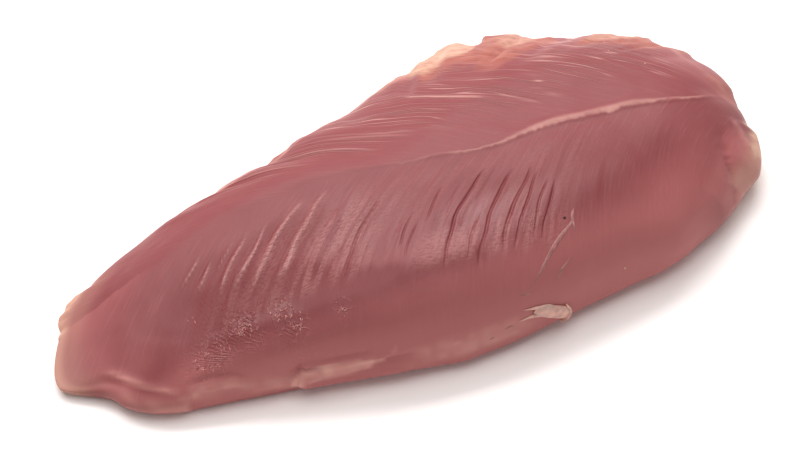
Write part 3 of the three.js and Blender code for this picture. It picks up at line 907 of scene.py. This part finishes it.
class NodeBench:
    """Adds nodes and links to one node tree, in a readable row."""

    def __init__(self, tree):
        self.tree = tree
        self.count = 0

    def add(self, kind, inputs=None, **settings):
        node = self.tree.nodes.new(kind)
        node.location = (220 * self.count, 0)
        self.count += 1
        for name, value in settings.items():
            setattr(node, name, value)
        for name, value in (inputs or {}).items():
            self.feed(node.inputs[name], value)
        return node

    def feed(self, socket, value):
        if isinstance(value, bpy.types.NodeSocket):
            self.tree.links.new(value, socket)
        else:
            socket.default_value = value

    def math(self, operation, first, second=0.0):
        return self.add("ShaderNodeMath", {0: first, 1: second}, operation=operation).outputs[0]

    def product(self, first, *others):
        for other in others:
            first = self.math("MULTIPLY", first, other)
        return first

    def total(self, start, *weighted):
        """The sum of a start and of values, each times its weight."""
        for value, weight in weighted:
            inputs = {0: value, 1: weight, 2: start}
            start = self.add("ShaderNodeMath", inputs, operation="MULTIPLY_ADD").outputs[0]
        return start

    def mix(self, share, first, second):
        node = self.add("ShaderNodeMix", data_type="RGBA")
        self.feed(node.inputs["Factor"], share)
        self.feed(node.inputs["A"], first)
        self.feed(node.inputs["B"], second)
        return node.outputs["Result"]

    def ramp(self, value, low, high):
        node = self.add("ShaderNodeMapRange", {"Value": value, "From Min": low, "From Max": high})
        node.interpolation_type = "SMOOTHSTEP"
        return node.outputs["Result"]

    def mask(self, name):
        return self.add("ShaderNodeAttribute", attribute_name=name).outputs["Fac"]

    def bundles(self):
        """Places across and along the muscle bundles, in millimetres."""
        return self.add("ShaderNodeAttribute", attribute_name="bundles").outputs["Vector"]

    def group(self, group, inputs):
        """Places a node group, and gives its only output."""
        return self.add("ShaderNodeGroup", inputs=inputs, node_tree=group).outputs[0]

    def flat_noise(self, x, y, detail, z=0.0):
        """Noise of size 1 at a place worked out from other values."""
        place = self.add("ShaderNodeCombineXYZ", {"X": x, "Y": y, "Z": z}).outputs[0]
        settings = {"Vector": place, "Scale": 1.0, "Detail": detail}
        return self.add("ShaderNodeTexNoise", settings).outputs["Fac"]

    def solid_noise(self, size, detail):
        """Noise through the whole piece, of a size in millimetres."""
        place = self.add("ShaderNodeTexCoord").outputs["Object"]
        settings = {"Vector": place, "Scale": self.math("DIVIDE", 1 / MM, size), "Detail": detail}
        return self.add("ShaderNodeTexNoise", settings).outputs["Fac"]


def new_group(name, output, inputs):
    """An empty node group with one named output, and named inputs that are numbers, or places if None."""
    group = bpy.data.node_groups.new(name, "ShaderNodeTree")
    group.interface.new_socket(output, in_out="OUTPUT", socket_type="NodeSocketFloat")
    for label, default in inputs.items():
        kind = "NodeSocketVector" if default is None else "NodeSocketFloat"
        socket = group.interface.new_socket(label, in_out="INPUT", socket_type=kind)
        if default is not None:
            socket.default_value = default
    bench = NodeBench(group)
    return group, bench, bench.add("NodeGroupInput").outputs, bench.add("NodeGroupOutput").inputs[0]


def across_and_along(bench, given, width, length):
    """The group's place, counted in its own widths across the bundles and lengths along them."""
    parts = bench.add("ShaderNodeSeparateXYZ", {0: given["Place"]})
    across = bench.math("DIVIDE", parts.outputs["X"], given[width])
    along = bench.math("DIVIDE", parts.outputs["Y"], given[length])
    return across, along


def make_fibre_grain():
    """Long thin streaks that run with the bundles."""
    sockets = {"Place": None, "Fibre Width": 0.7, "Fibre Length": 12.0}
    group, bench, given, out = new_group("Fibre Grain", "Streaks", sockets)
    across, along = across_and_along(bench, given, "Fibre Width", "Fibre Length")
    bench.feed(out, bench.flat_noise(across, along, 2.0))
    return group


def make_wrinkle_lines():
    """Thin wavy lines side by side that run with the bundles and fade in and out, 1 on each line."""
    sockets = {"Place": None, "Spacing": 2.0, "Length": 14.0, "Line Width": 0.2}
    group, bench, given, out = new_group("Wrinkle Lines", "Lines", sockets)
    across, along = across_and_along(bench, given, "Spacing", "Length")
    bend = bench.flat_noise(bench.product(across, 0.35), along, 1.0)
    bent = bench.math("ADD", across, bench.product(bend, 5.0))
    off_line = bench.math("ABSOLUTE", bench.math("SUBTRACT", bench.math("FRACT", bent), 0.5))
    lines = bench.ramp(off_line, given["Line Width"], 0.0)
    shows = bench.flat_noise(bench.math("FLOOR", bent), along, 0.0, z=7.3)
    bench.feed(out, bench.product(lines, bench.ramp(shows, 0.38, 0.55)))
    return group


def make_bundle_line():
    """One line along the bundles, 1 on the line, that wanders and fades at its ends as on the skin."""
    group, bench, given, out = new_group("Bundle Line", "Line", {
        "Place": None, "Bundle": 0.0, "Start": 0.0, "End": 20.0, "Fade": 4.0, "Half Width": 0.4,
        "Wander": 0.5, "Number": 0.0,
    })
    parts = bench.add("ShaderNodeSeparateXYZ", {0: given["Place"]})
    away = parts.outputs["Y"]
    waves = []
    for length, size, turn in WANDER_WAVES:
        phase = bench.total(0.0, (away, 1 / length), (given["Number"], turn))
        waves.append((bench.math("SINE", phase), size))
    wobble = bench.product(bench.total(0.0, *waves), given["Wander"])
    off = bench.total(parts.outputs["X"], (given["Bundle"], -1.0), (wobble, -1.0))
    line = bench.ramp(bench.math("ABSOLUTE", off), bench.product(given["Half Width"], COLOUR_REACH), 0.0)
    rising = bench.ramp(away, given["Start"], bench.math("ADD", given["Start"], given["Fade"]))
    falling = bench.ramp(away, given["End"], bench.math("SUBTRACT", given["End"], given["Fade"]))
    bench.feed(out, bench.product(line, rising, falling))
    return group


def bundle_lines(bench, line_group, lines, wander, full_height):
    """All the named lines of one kind, each as strong as it is high."""
    drawn = 0.0
    for number, (bundle, start, end, half_width, height) in enumerate(lines):
        line = bench.group(line_group, {
            "Place": bench.bundles(), "Bundle": bundle, "Start": start, "End": end,
            "Fade": line_fade(start, end), "Half Width": half_width, "Wander": wander, "Number": number,
        })
        drawn = bench.math("MAXIMUM", drawn, bench.product(line, min(1, height / full_height)))
    return drawn


def make_squiggles():
    """Fine curling lines without a direction, 1 on each line."""
    sockets = {"Curl Size": 1.5, "Line Width": 0.04}
    group, bench, given, out = new_group("Squiggles", "Lines", sockets)
    noise = bench.solid_noise(given["Curl Size"], 1.0)
    off_line = bench.math("ABSOLUTE", bench.math("SUBTRACT", noise, 0.5))
    bench.feed(out, bench.ramp(off_line, given["Line Width"], 0.0))
    return group


def make_mottle():
    """Soft patches, from 0 to 1, of one size."""
    sockets = {"Patch Size": 6.0, "Sharpness": 0.5}
    group, bench, given, out = new_group("Mottle", "Patches", sockets)
    noise = bench.solid_noise(given["Patch Size"], 1.5)
    half = bench.product(bench.math("SUBTRACT", 1.0, given["Sharpness"]), 0.3)
    low = bench.math("SUBTRACT", 0.5, half)
    high = bench.math("ADD", 0.501, half)
    bench.feed(out, bench.ramp(noise, low, high))
    return group


def principled(name, roughness, scatter, scatter_scale):
    """A material with one moist, softly translucent shader, and a bench to wire it on."""
    material = bpy.data.materials.new(name)
    material.use_nodes = True
    bench = NodeBench(material.node_tree)
    shader = material.node_tree.nodes["Principled BSDF"]
    shader.inputs["Roughness"].default_value = roughness
    shader.inputs["Subsurface Weight"].default_value = scatter
    shader.inputs["Subsurface Radius"].default_value = (1.0, 0.4, 0.3)
    shader.inputs["Subsurface Scale"].default_value = scatter_scale * MM
    shader.inputs["IOR"].default_value = 1.4
    shader.inputs["Specular IOR Level"].default_value = 0.35
    return material, bench, shader


def make_meat_material(colours, groups):
    """Moist pink meat, with its fibres, fat, tendon, thin edges and torn membrane, and painted shade, light
    and highlights in its colour.
    """
    material, bench, shader = principled("raw_meat", roughness=0.52, scatter=0.3, scatter_scale=2.0)

    def grain(width, length):
        inputs = {"Place": bench.bundles(), "Fibre Width": width, "Fibre Length": length}
        return bench.group(groups["grain"], inputs)

    def mottle(size, sharpness):
        return bench.group(groups["mottle"], {"Patch Size": size, "Sharpness": sharpness})

    far = bench.mask("far")
    torn = bench.mask("torn")
    streaks = grain(0.9, 9.0)
    crinkles = grain(1.6, 0.42)
    crinkled = bench.ramp(crinkles, 0.3, 0.6)
    pale_film_and_painted_sheen = bench.product(bench.ramp(grain(2.6, 24.0), 0.4, 0.58), crinkled, bench.mask("crepe"))
    painted_ridge_highlight = bench.product(bench.mask("ridges"), crinkled)
    lines = {"Place": bench.bundles(), "Spacing": 1.8, "Length": 17.0, "Line Width": 0.22}
    wrinkles = bench.product(bench.group(groups["wrinkles"], lines), bench.mask("wrinkles"))
    curls = bench.group(groups["squiggles"], {"Curl Size": 2.2, "Line Width": 0.05})
    squiggles = bench.product(curls, torn)
    grooves = bundle_lines(bench, groups["line"], NEAR_GROOVES, GROOVE_WANDER, FULL_GROOVE)
    grooves = bench.product(grooves, bench.math("SUBTRACT", 1.0, far))
    folds = bench.product(bundle_lines(bench, groups["line"], FAR_FOLDS, FOLD_WANDER, FULL_FOLD), far)
    clots = mottle(4.0, 0.2)
    salmon = bench.product(bench.mask("salmon_fat"), bench.total(1.0, (clots, -0.35)))
    cream = bench.mix(bench.product(clots, 0.45), colours.fat_cream, colours.fat_salmon)

    # The layers of colour in order: where each lies, how strong it is and its colour.
    layers = (
        (far, 1.0, colours.far_lean),
        (bench.ramp(streaks, 0.5, 0.8), 0.35, colours.lean_bright_and_highlight),
        # Painted highlight along the head end's far edge, over its pinker meat.
        (bench.mask("pink_edge_and_highlight"), 0.6, colours.lean_bright_and_highlight),
        # Painted shade under the seam towards the head and below the near shoulder.
        (bench.mask("painted_shade"), 1.0, colours.painted_shade_red),
        # Painted light on the near wall, as bounced from the table.
        (bench.mask("wall"), 1.0, colours.painted_wall_light),
        # Pale lips and far-edge membrane, with painted light on the head flap and a painted highlight on the
        # tail fold.
        (bench.mask("lip"), 0.9, colours.lip),
        (bench.mask("tendon"), 0.8, colours.tendon),
        (wrinkles, 0.7, colours.membrane),
        # Pale film on the crinkled shoulder, partly a painted sheen.
        (pale_film_and_painted_sheen, 0.25, colours.membrane),
        # Painted highlight on the narrower raised bundles.
        (painted_ridge_highlight, 0.4, colours.membrane),
        # Painted shade in the hollows.
        (bench.mask("hollows"), 0.6, colours.painted_shade_red),
        # Painted shade in the grooves.
        (grooves, 0.32, colours.painted_shade_red),
        (folds, 0.45, colours.membrane),
        # Painted shade in the creases.
        (bench.mask("creases"), 0.38, colours.painted_shade_red),
        # Painted glints in the torn patches.
        (squiggles, 0.3, colours.membrane),
        (salmon, 1.0, colours.fat_salmon),
        (bench.mask("thin"), 1.0, colours.thin_edge),
        (bench.mask("cream_fat"), 1.0, cream),
    )
    colour = bench.mix(mottle(26.0, 0.1), colours.lean, colours.lean_shadow)
    for where, strength, layer in layers:
        colour = bench.mix(bench.product(where, strength), colour, layer)
    bench.feed(shader.inputs["Base Color"], colour)

    crepe = bench.total(0.0, (grain(0.45, 3.0), 0.8), (mottle(1.1, 0.0), 0.4), (crinkles, 0.5))
    height = bench.total(
        0.0, (streaks, 0.4), (crepe, bench.mask("crepe")), (wrinkles, 1.1), (grooves, -1.1), (folds, 1.0),
        (squiggles, 1.0),
    )
    bump = bench.add("ShaderNodeBump", {"Height": height, "Strength": 1.0, "Distance": 0.2 * MM})
    bench.feed(shader.inputs["Normal"], bump.outputs[0])
    uneven = bench.total(0.5, (bench.ramp(grain(1.5, 16.0), 0.35, 0.65), 0.5))
    sheen = bench.product(bench.mask("sheen"), uneven)
    roughness = shader.inputs["Roughness"]
    wetted = bench.total(roughness.default_value, (sheen, -0.3), (torn, -0.3))
    bench.feed(roughness, bench.math("MAXIMUM", wetted, 0.0))
    return material


def make_floor_material(colour):
    """A plain pale table that glows faintly, as painted light."""
    material = bpy.data.materials.new("pale_table")
    material.use_nodes = True
    shader = material.node_tree.nodes["Principled BSDF"]
    shader.inputs["Base Color"].default_value = colour
    shader.inputs["Roughness"].default_value = 0.7
    shader.inputs["Specular IOR Level"].default_value = 0.2
    # Painted light: the table glows faintly and a little warm, lifting its shadows as a bright studio does.
    shader.inputs["Emission Color"].default_value = (1, 0.9, 0.88, 1)
    shader.inputs["Emission Strength"].default_value = 0.05
    return material


def linear(red, green, blue):
    """A colour given as it looks, 0 to 255, as the value that light is worked out with."""
    parts = (part / 255 for part in (red, green, blue))
    return (*(part / 12.92 if part <= 0.04045 else ((part + 0.055) / 1.055) ** 2.4 for part in parts), 1.0)


def colour_property(name, description, default):
    return FloatVectorProperty(
        name=name, description=description, default=default, size=4, min=0, max=1, subtype="COLOR",
    )


def height_property(name, description, default):
    return FloatProperty(name=name, description=description, default=default, min=0, max=2)


class TenderloinShape(bpy.types.PropertyGroup):
    """Heights of the skin's relief, in millimetres or as shares of the listed ones."""

    groove_depth: height_property("Groove Depth", "Share of the depth of the grooves between bundles", 0.42)
    ridge_height: height_property("Ridge Height", "Share of the height of the raised bundles", 1.0)
    fold_height: height_property("Fold Height", "Share of the height of the pale folds", 1.0)
    fibre_height: height_property("Fibre Height", "Height of the small fibres, in millimetres", 0.16)
    seam_height: height_property("Seam Ridge", "Height of the tendon's ridge, in millimetres", 0.35)
    seam_step: height_property("Seam Step", "Step down to the near half, in millimetres", 0.32)


class TenderloinColours(bpy.types.PropertyGroup):
    """Colours of the meat, its fat and its membranes, and of the shade and light painted on it."""

    lean: colour_property("Lean", "Pink of the near half's meat", linear(133, 69, 71))
    lean_shadow: colour_property("Lean Shadow", "Darker patches of the near half", linear(126, 61, 63))
    far_lean: colour_property("Far Lean", "Paler meat of the far half", linear(136, 69, 71))
    # Also painted as a highlight along the head end's far edge.
    lean_bright_and_highlight: colour_property("Lean Bright", "Pale fibres of the lean meat", linear(157, 91, 93))
    # Painted shade: under the near shoulder, in the hollows, grooves and creases.
    painted_shade_red: colour_property("Deep Red", "Meat under the near shoulder", linear(112, 39, 42))
    # Painted light on the near wall, as bounced from the table.
    painted_wall_light: colour_property("Pale Wall", "Wall under the near shoulder", linear(190, 114, 112))
    # Also painted as sheen and highlights: on the crinkled shoulder, the raised bundles and the torn
    # patches.
    membrane: colour_property("Membrane", "Thin pale membrane", linear(196, 144, 136))
    tendon: colour_property("Tendon", "Pale tendon in the seam", linear(190, 136, 127))
    # Also painted light on the head flap and a painted highlight on the tail fold.
    lip: colour_property("Lip", "Pale lips along the bottom edge", linear(226, 168, 156))
    fat_salmon: colour_property("Salmon Fat", "Fat with meat showing through", linear(168, 97, 84))
    fat_cream: colour_property("Cream Fat", "Palest fat", linear(208, 165, 142))
    strands: colour_property("Strands", "Membrane strands on the lean meat", linear(182, 118, 114))
    tendon_end: colour_property("Tendon End", "Cut end of the tendon", linear(235, 184, 170))
    # Its pale pink is partly a painted highlight of the wet threads.
    torn: colour_property("Torn Membrane", "Wet torn threads", linear(216, 140, 132))
    speck: colour_property("Speck", "Dark speck", linear(54, 15, 21))
    thin_edge: colour_property("Thin Edge", "Edge that light comes through", linear(182, 132, 118))
    table: colour_property("Table", "Pale table", linear(250, 244, 241))


class StudioSettings(bpy.types.PropertyGroup):
    """The table, the light and the camera."""

    azimuth: FloatProperty(
        name="Azimuth", description="Turn of the camera round the meat", subtype="ANGLE",
        default=math.radians(-29),
    )
    elevation: FloatProperty(
        name="Elevation", description="Height of the camera above the table", subtype="ANGLE",
        default=math.radians(50),
    )
    distance: FloatProperty(name="Distance", description="Camera distance", unit="LENGTH", default=0.64)
    lens: FloatProperty(name="Lens", description="Focal length in millimetres", default=100.0)
    window_power: FloatProperty(
        name="Window Power", description="Power of the overhead softbox", unit="POWER", default=6.4,
    )
    fill_power: FloatProperty(
        name="Fill Power", description="Power of the large soft fill light", unit="POWER", default=11.0,
    )
    sky_strength: FloatProperty(
        name="Sky Strength", description="Strength of the light from all round", default=0.24,
    )


def make_camera(studio):
    camera_data = bpy.data.cameras.new("camera")
    camera_data.lens = studio.lens
    camera_data.sensor_width = SENSOR_WIDTH
    camera = bpy.data.objects.new("camera", camera_data)
    back = Vector((
        math.sin(studio.azimuth) * math.cos(studio.elevation),
        -math.cos(studio.azimuth) * math.cos(studio.elevation),
        math.sin(studio.elevation),
    ))
    camera.location = Vector(LOOK_AT) * MM + back * studio.distance
    camera.rotation_euler = back.to_track_quat("Z", "Y").to_euler()
    bpy.context.scene.collection.objects.link(camera)
    bpy.context.scene.camera = camera


class Skin:
    """Finds places and normals on the finished meat, in the outline's frame."""

    def __init__(self, meat, middle):
        self.middle = Vector(middle)
        self.tree = BVHTree.FromObject(meat, bpy.context.evaluated_depsgraph_get())

    def below(self, x, y):
        """The point of the skin under a place, in the outline's frame."""
        start = (Vector((x, y, 2 * CROWN[:, 1].max())) - self.middle) * MM
        place, _, _, _ = self.tree.ray_cast(start, Vector((0, 0, -1)))
        return place / MM + self.middle

    def nearest(self, point):
        place, normal, _, _ = self.tree.find_nearest((Vector(point) - self.middle) * MM)
        return place / MM, normal


def tube_faces(rings, sides):
    """Faces of a closed tube, made of rings of points, with flat ends."""
    faces = []
    for ring in range(rings - 1):
        for j in range(sides):
            a, b = ring * sides + j, ring * sides + (j + 1) % sides
            faces.append((a, a + sides, b + sides, b))
    last = (rings - 1) * sides
    return [*faces, tuple(range(sides)), tuple(range(last + sides - 1, last - 1, -1))]


def strand(skin, points, width, height, profile=EVEN_TAPER, steps=6, sides=8):
    """Vertices and faces of a closed, tapered strand that lies on the skin, in millimetres.

    The profile gives the width at equal steps along the strand, as shares of the full width.
    """
    path = open_curve(points, steps)
    places, normals = zip(*(skin.nearest(point) for point in path))
    shares = np.interp(np.linspace(0, 1, len(path)), np.linspace(0, 1, len(profile)), profile)
    vertices = []
    for k, (place, normal) in enumerate(zip(places, normals)):
        way = places[min(k + 1, len(places) - 1)] - places[max(k - 1, 0)]
        side = way.cross(normal).normalized()
        share = max(shares[k], LEAST_WIDTH)
        for turn in np.arange(sides) / sides * 2 * math.pi:
            across = side * (math.cos(turn) * width / 2 * share)
            up = normal * (math.sin(turn) * height / 2 * share + STRAND_LIFT * height)
            vertices.append(place + across + up)
    return vertices, tube_faces(len(path), sides)


def joined(parts):
    """Puts several closed shapes into one list of vertices and faces."""
    vertices, faces = [], []
    for part_vertices, part_faces in parts:
        faces += [tuple(index + len(vertices) for index in face) for face in part_faces]
        vertices += part_vertices
    return vertices, faces


def torn_curls(skin, random):
    """Small curled threads of torn membrane, in clusters."""
    curls = []
    for centre, spread, count in TORN_CLUSTERS:
        for _ in range(count):
            x, y = centre + np.clip(random.normal(0, 0.5, 2), -0.9, 0.9) * spread
            turn, bend = random.normal(TORN_DIRECTION, 0.6), random.uniform(-0.8, 0.8)
            length = random.uniform(0.4, 1.7)
            points = []
            for t in (0, 0.33, 0.66, 1):
                points.append(skin.below(x, y))
                x += length / 3 * math.cos(turn + bend * t)
                y += length / 3 * math.sin(turn + bend * t)
            width, height = random.uniform(0.15, 0.32), random.uniform(0.12, 0.3)
            curls.append(strand(skin, points, width, height, steps=3, sides=5))
    return joined(curls)


def drop(skin, point, size, flatness):
    """A small rounded lump that lies on the skin."""
    place, normal = skin.nearest(point)
    side = normal.orthogonal().normalized()
    other = normal.cross(side)
    vertices = []
    for ring in range(1, DROP_RINGS):
        rise = math.pi * ring / DROP_RINGS
        for turn in np.arange(DROP_SIDES) / DROP_SIDES * 2 * math.pi:
            flat = side * math.cos(turn) + other * math.sin(turn)
            up = normal * (math.cos(rise) * size / 2 * flatness)
            vertices.append(place + flat * (math.sin(rise) * size / 2) + up)
    return vertices, tube_faces(DROP_RINGS - 1, DROP_SIDES)


def make_softbox(name, power, size, place):
    """A rectangular soft light at a place, in metres, turned to the middle of the table."""
    light = bpy.data.lights.new(name, "AREA")
    light.shape = "RECTANGLE"
    light.size, light.size_y = size
    light.energy = power
    lamp = bpy.data.objects.new(name, light)
    lamp.location = place
    lamp.rotation_euler = Vector(place).to_track_quat("Z", "Y").to_euler()
    bpy.context.scene.collection.objects.link(lamp)


def make_floor(material):
    corners = [(x * TABLE_HALF, y * TABLE_HALF, 0) for x, y in ((-1, -1), (1, -1), (1, 1), (-1, 1))]
    mesh = bpy.data.meshes.new("table")
    mesh.from_pydata(corners, [], [(0, 1, 2, 3)])
    mesh.materials.append(material)
    floor = bpy.data.objects.new("table", mesh)
    bpy.context.scene.collection.objects.link(floor)


class TENDERLOIN_OT_meat(bpy.types.Operator):
    """Lays the fine skin of the meat over its solid"""

    bl_idname = "tenderloin.meat"
    bl_label = "Meat"

    def execute(self, context):
        scene = context.scene
        points, quads, fan, angles, shares = skin_mesh(scene.tenderloin_shape)
        places = SkinPlaces(angles, shares, points)
        low, high = points.min(axis=0), points.max(axis=0)
        middle = np.array([(low[0] + high[0]) / 2, (low[1] + high[1]) / 2, 0.0])
        groups = {
            "grain": make_fibre_grain(),
            "wrinkles": make_wrinkle_lines(),
            "squiggles": make_squiggles(),
            "line": make_bundle_line(),
            "mottle": make_mottle(),
        }
        material = make_meat_material(scene.tenderloin_colours, groups)
        meat = mesh_object("meat", points - middle, [*quads.tolist(), *fan.tolist()], material)
        paint_masks(meat, places)
        dress(meat)
        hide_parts("fillet")
        meat["middle"] = middle.tolist()
        return {"FINISHED"}


def meat_skin():
    meat = bpy.data.objects["meat"]
    return Skin(meat, meat["middle"])


def make_membrane_material(name, colour, roughness, scatter):
    """Pale, wet connective tissue, softly clouded."""
    material, bench, shader = principled(name, roughness, scatter, scatter_scale=1.5)
    patches = bench.group(bpy.data.node_groups["Mottle"], {"Patch Size": 2.0, "Sharpness": 0.2})
    darker = (*(0.72 * part for part in colour[:3]), 1.0)
    bench.feed(shader.inputs["Base Color"], bench.mix(patches, colour, darker))
    bump = bench.add("ShaderNodeBump", {"Height": patches, "Strength": 1.0, "Distance": 0.12 * MM})
    bench.feed(shader.inputs["Normal"], bump.outputs[0])
    return material


class TENDERLOIN_OT_tendon(bpy.types.Operator):
    """Adds the cut end of the tendon on the near wall, with its forked strands"""

    bl_idname = "tenderloin.tendon"
    bl_label = "Tendon End"

    def execute(self, context):
        skin = meat_skin()
        colour = context.scene.tenderloin_colours.tendon_end
        material = make_membrane_material("tendon", colour, roughness=0.35, scatter=0.3)
        parts = [
            strand(skin, points, width, height, profile, sides=12)
            for points, width, height, profile in TENDON_STUB.values()
        ]
        dress(mesh_object("tendon_end", *joined(parts), material))
        return {"FINISHED"}


class TENDERLOIN_OT_membranes(bpy.types.Operator):
    """Adds the strands and the torn threads of membrane"""

    bl_idname = "tenderloin.membranes"
    bl_label = "Membranes"

    def execute(self, context):
        skin = meat_skin()
        colours = context.scene.tenderloin_colours
        material = make_membrane_material("membrane", colours.strands, roughness=0.3, scatter=0.3)
        strands = [strand(skin, points, width, height) for points, width, height in MEMBRANE_STRANDS]
        dress(mesh_object("membrane_strands", *joined(strands), material))
        # The threads' pale pink is partly a painted highlight.
        wet = make_membrane_material("torn_membrane", colours.torn, roughness=0.12, scatter=0.2)
        dress(mesh_object("torn_threads", *torn_curls(skin, np.random.default_rng(SEED)), wet))
        return {"FINISHED"}


class TENDERLOIN_OT_specks(bpy.types.Operator):
    """Adds the dark speck and the small flecks of fat"""

    bl_idname = "tenderloin.specks"
    bl_label = "Specks"

    def execute(self, context):
        skin = meat_skin()
        colours = context.scene.tenderloin_colours
        dark = make_membrane_material("dark_speck", colours.speck, roughness=0.5, scatter=0.0)
        dress(mesh_object("dark_speck", *drop(skin, *DARK_SPECK), dark))
        pale = make_membrane_material("fat_flecks", colours.fat_cream, roughness=0.4, scatter=0.3)
        flecks = [drop(skin, *fleck) for fleck in FAT_FLECKS]
        dress(mesh_object("fat_flecks", *joined(flecks), pale))
        return {"FINISHED"}


class TENDERLOIN_OT_stage(bpy.types.Operator):
    """Adds the table, the lights and the camera"""

    bl_idname = "tenderloin.stage"
    bl_label = "Stage"

    def execute(self, context):
        studio = context.scene.tenderloin_studio
        make_camera(studio)
        make_floor(make_floor_material(context.scene.tenderloin_colours.table))
        make_softbox("window", studio.window_power, *WINDOW)
        make_softbox("fill", studio.fill_power, *FILL)
        world = bpy.data.worlds.new("sky")
        world.use_nodes = True
        sky = world.node_tree.nodes["Background"]
        sky.inputs["Color"].default_value = (1, 1, 1, 1)
        sky.inputs["Strength"].default_value = studio.sky_strength
        context.scene.world = world
        context.scene.view_settings.view_transform = "Standard"
        return {"FINISHED"}


class TENDERLOIN_PT_panel(bpy.types.Panel):
    """Lists the pieces of the tenderloin"""

    bl_idname = "TENDERLOIN_PT_panel"
    bl_label = "Tenderloin"
    bl_space_type = "VIEW_3D"
    bl_region_type = "UI"
    bl_category = "Tenderloin"

    def draw(self, context):
        for operator in OPERATORS:
            self.layout.operator(operator.bl_idname)


OPERATORS = (
    TENDERLOIN_OT_meat, TENDERLOIN_OT_tendon, TENDERLOIN_OT_membranes, TENDERLOIN_OT_specks,
    TENDERLOIN_OT_stage,
)
SETTINGS = {
    "tenderloin_shape": TenderloinShape,
    "tenderloin_colours": TenderloinColours,
    "tenderloin_studio": StudioSettings,
}


def register():
    for group in SETTINGS.values():
        bpy.utils.register_class(group)
    for name, group in SETTINGS.items():
        setattr(bpy.types.Scene, name, PointerProperty(type=group))
    for listed in (*OPERATORS, TENDERLOIN_PT_panel):
        bpy.utils.register_class(listed)


def unregister():
    for listed in reversed((*OPERATORS, TENDERLOIN_PT_panel)):
        bpy.utils.unregister_class(listed)
    for name in SETTINGS:
        delattr(bpy.types.Scene, name)
    for group in SETTINGS.values():
        bpy.utils.unregister_class(group)


def main():
    register()
    bpy.ops.tenderloin.meat()
    bpy.ops.tenderloin.tendon()
    bpy.ops.tenderloin.membranes()
    bpy.ops.tenderloin.specks()
    bpy.ops.tenderloin.stage()


if __name__ == "__main__":
    main()
